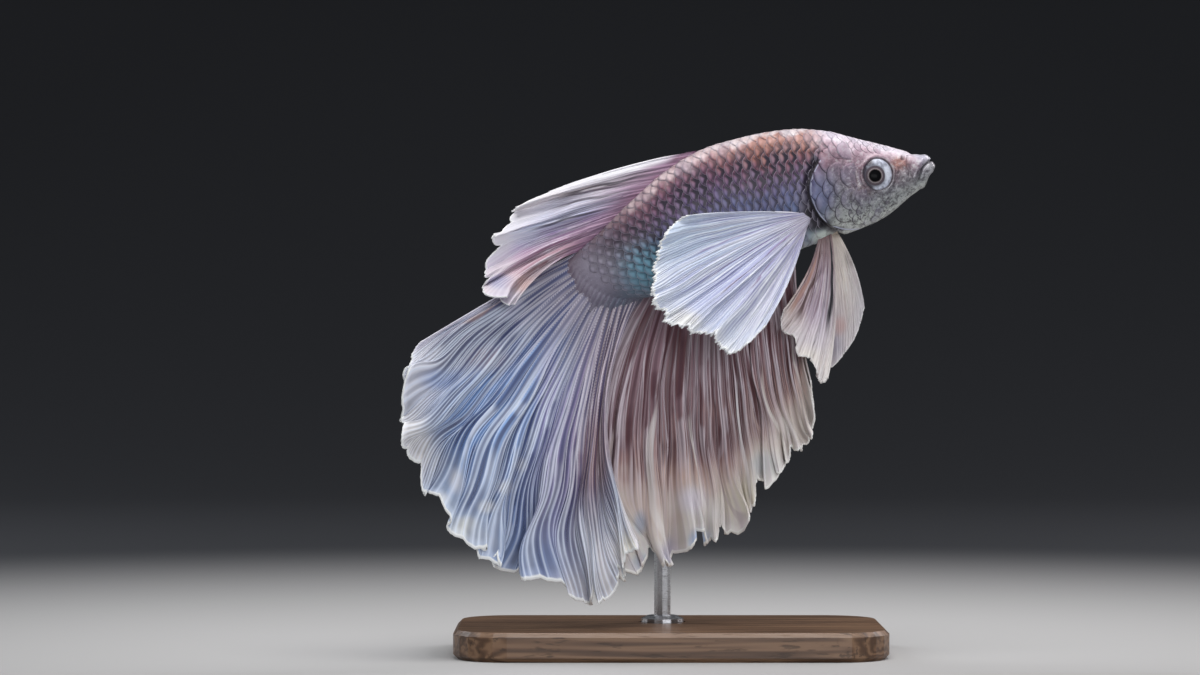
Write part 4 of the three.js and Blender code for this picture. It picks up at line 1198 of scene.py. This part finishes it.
@functools.cache
def fin_material(kind):
    look = FIN_LOOKS[kind]
    n = Nodes(kind + "_membrane")
    out, fan, ray, fold, leaf, crest = (
        n.attribute(name) for name in ("out", "fan", "ray", "fold", "leaf", "crest")
    )
    (deep, deep_share), (pale, pale_share), (valley, valley_share) = (
        look[key] for key in ("deep", "pale", "valley")
    )
    pale = n.mix(out.spread(0.12, 0.5), look["root_pale"], pale)
    if "late" in look:
        late = fan.spread(0.6, 0.78) * out.spread(0.85, 0.6)
        deep, pale = n.mix(late, deep, look["late"][0]), n.mix(late, pale, look["late"][1])

    cloud = n.noise(0.16, 2).spread(0.3, 0.7, -0.07, 0.07)
    share = out.spread(0.95, 0.6, look["fan_share"] * 0.45, look["fan_share"]) * out.spread(0.05, 0.4)
    colour = n.mix(share, n.ramp(out + cloud, look["out"]), n.ramp(fan + cloud * 0.4, look["fan"]))
    colour = n.patches(colour, look["patches"])

    inner_end, inner_start, least = look["inner"]
    inner = out.spread(inner_end, inner_start, least, 1.0)
    for oval in look.get("calm", ()):
        inner = inner * n.spot(*oval).spread(0.0, 1.0, 1.0, 0.3)
    wide, narrow = n.vector(fan * 44, out * 1.1, 1.0), n.vector(leaf * 150, out * 2.2, 5.0)
    for band, share in ((n.noise(1.0, 2, at=wide), 0.9), (n.noise(1.0, 3, at=narrow), 0.85)):
        dark = band.spread(0.52, 0.6, 0, deep_share * share)
        light = band.spread(0.46, 0.4, 0, pale_share * share)
        colour = n.paint(colour, (dark * inner, deep), (light * inner, pale))

    # Painted light on pleats and folds: shade in the pleats' valleys and where a fold bulges to the fish's
    # left, and a highlight along the pleats' tops and where a fold bulges to its right.
    away = out.spread(0.12, 0.4) * inner
    beads = n.wave(out + leaf * 5.3, 30.0).spread(0.35, 0.65)
    colour = n.paint(
        colour,
        (crest.spread(-0.4, -1.0, 0, 0.3) * away, deep),
        (crest.spread(0.6, 0.97, 0, 0.5) * away, pale),
        (fold.spread(0.3, 1.4, 0, 0.3) * away, deep),
        (fold.spread(-0.3, -1.4, 0, 0.25) * away, pale),
        (ray.spread(0.3, 0.0, 0, valley_share) * out.spread(0.98, 0.5, 0.3, 1.0), valley),
        (ray.spread(0.5, 0.95, 0, look["ray_share"]), pale),
        (beads * ray.spread(0.2, 0.6) * out.spread(0.7, 0.25, 0, look.get("joints", 0)), (72, 70, 78)),
        (out.spread(0.986, 0.993), look["margin"]),
    )
    wander = n.noise(1.0, 1, at=n.vector(fan * 4, out * 2.4, 9.0)).spread(0.3, 0.7, -0.02, 0.02)
    for at, half, begin, end, share, tint in look.get("stripes", ()):
        stripe = abs(fan + wander - at).spread(half, 0.4 * half) * out.spread(begin - 0.12, begin + 0.05)
        colour = n.mix(stripe * out.spread(end + 0.08, end - 0.12, 0, share), colour, tint)
    clear = out.spread(0.4, 0.85) * ray.spread(0.6, 0.1, 0.35, 1.0) * out.spread(0.985, 0.96)
    return n.surface(
        Base_Color=colour,
        Roughness=0.45,
        Specular_IOR_Level=0.3,
        Coat_Weight=0.06,
        Coat_Roughness=0.15,
        Alpha=1.0 - clear * look["clear"],
    )


# ---- stand ----------------------------------------------------------------------------------------


def walnut():
    n = Nodes("walnut")
    x, y, z = n.axes
    warp = n.noise(0.22, 3, at=n.vector(x * 0.035, y, z))
    grain = n.wave(y * 0.12 + warp * 2.6, 1.1, 1.0)
    pores = n.noise(1.4, 3, 0.6, at=n.vector(x * 0.16, y * 3.2, z))
    dark = pores.spread(0.56, 0.66, 0, 0.65)
    wood = n.ramp(grain, [(0, 7.5, 3.8, 2), (55, 13, 7, 3.8), (100, 20, 11.5, 6.5)])
    return n.surface(
        Base_Color=n.mix(dark, wood, (3.5, 1.8, 1)),
        Roughness=pores.spread(0.4, 0.65, 0.38, 0.5),
        Normal=n.bump(1.0 - dark, 0.25, 0.05),
    )


def brushed_steel():
    n = Nodes("brushed_steel")
    x, y, z = n.axes
    brush = n.noise(1.2, 3, 0.6, at=n.vector(x, y, z * 14.0))
    return n.surface(
        Base_Color=n.ramp(brush, [(30, 50, 51, 53), (70, 66, 67, 69)]),
        Metallic=1.0,
        Roughness=brush.spread(0.3, 0.7, 0.24, 0.4),
        Normal=n.bump(brush, 0.12, 0.02),
    )


def dress_stand():
    for node, material in (("stand_base", walnut()), ("stand_rod", brushed_steel())):
        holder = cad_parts[node]
        holder.data.materials.clear()
        holder.data.materials.append(material)


# ---- floor, lights and camera, in metres ----------------------------------------------------------
BOWL = {"flat": 0.5, "curve": 0.5, "turn": 0.42 * math.pi}
FISH_MIDDLE = (0, 0, 0.045)


def make_floor():
    """A plain floor that curves up into a backdrop all round."""
    around = 96
    flat = np.linspace(0.0, BOWL["flat"], 30)[1:]
    turn = np.linspace(0, BOWL["turn"], 40)[1:]
    radius = np.concatenate([flat, BOWL["flat"] + BOWL["curve"] * np.sin(turn)])
    height = np.concatenate([0 * flat, BOWL["curve"] * (1 - np.cos(turn))])
    r, angle = np.meshgrid(radius, TURN * np.arange(around) / around, indexing="ij")
    z = np.repeat(height[:, None], around, axis=1)
    points = np.stack([r * np.cos(angle), r * np.sin(angle), z], axis=-1).reshape(-1, 3) / MM
    points = np.concatenate([points, [[0, 0, 0]]])
    faces = grid_faces(len(radius), around, wrap=True)
    floor = mesh_piece("floor", points, faces, fan_faces(r.size, 0, around))
    n = Nodes("floor")
    far = n.radius(n.axes[0], n.axes[1])
    colour = n.mix(far.spread(40.0, 280.0), (46, 46, 46), (3, 3.2, 3.7))
    floor.data.materials.append(n.surface(Base_Color=colour, Roughness=0.75, Specular_IOR_Level=0.2))


def add_light(name, at, size, power, tint):
    """A soft light aimed at the fish's middle."""
    data = bpy.data.lights.new(name, "AREA")
    data.shape = "RECTANGLE"
    data.size, data.size_y = size
    data.energy = power
    data.color = rgba(tint)[:3]
    light = bpy.data.objects.new(name, data)
    bpy.context.scene.collection.objects.link(light)
    light.location = at
    direction = Vector(FISH_MIDDLE) - Vector(at)
    light.rotation_euler = direction.to_track_quat("-Z", "Y").to_euler()
    light.visible_camera = False


def light_scene():
    add_light("key", (0.05, -0.12, 0.55), (0.5, 0.36), 2.8, (100, 98, 97))
    add_light("front", (0.16, -0.7, 0.1), (0.45, 0.4), 3.6, (95, 96, 100))
    add_light("rim_left", (-0.45, 0.3, 0.3), (0.2, 0.4), 1.5, (95, 97, 100))
    add_light("rim_right", (0.45, 0.3, 0.3), (0.2, 0.4), 1.5, (100, 96, 98))
    world = bpy.data.worlds.new("studio")
    world.use_nodes = True
    background = world.node_tree.nodes["Background"]
    background.inputs["Color"].default_value = rgba((90, 95, 100))
    background.inputs["Strength"].default_value = 0.09
    bpy.context.scene.world = world
    bpy.context.scene.view_settings.view_transform = "Standard"


def add_camera():
    """A level camera at the fish's right side."""
    data = bpy.data.cameras.new("camera")
    data.lens = 111.4
    data.sensor_width = 36
    camera = bpy.data.objects.new("camera", data)
    bpy.context.scene.collection.objects.link(camera)
    camera.location = (-0.0098, -0.52, 0.0441)
    camera.rotation_euler = (math.pi / 2, 0, 0)
    bpy.context.scene.camera = camera


add_camera()
make_skin()
make_coat("scales", *body_roots(), plate=0.0, seed=11)
make_coat("head_scales", *head_roots(), plate=1.0, seed=12)
make_eye(1, "eyeball_left", "eye_left")
make_eye(-1, "eyeball_right", "eye_right")
for name, fin in FINS.items():
    make_fin(name, fin)
dress_stand()
make_floor()
light_scene()
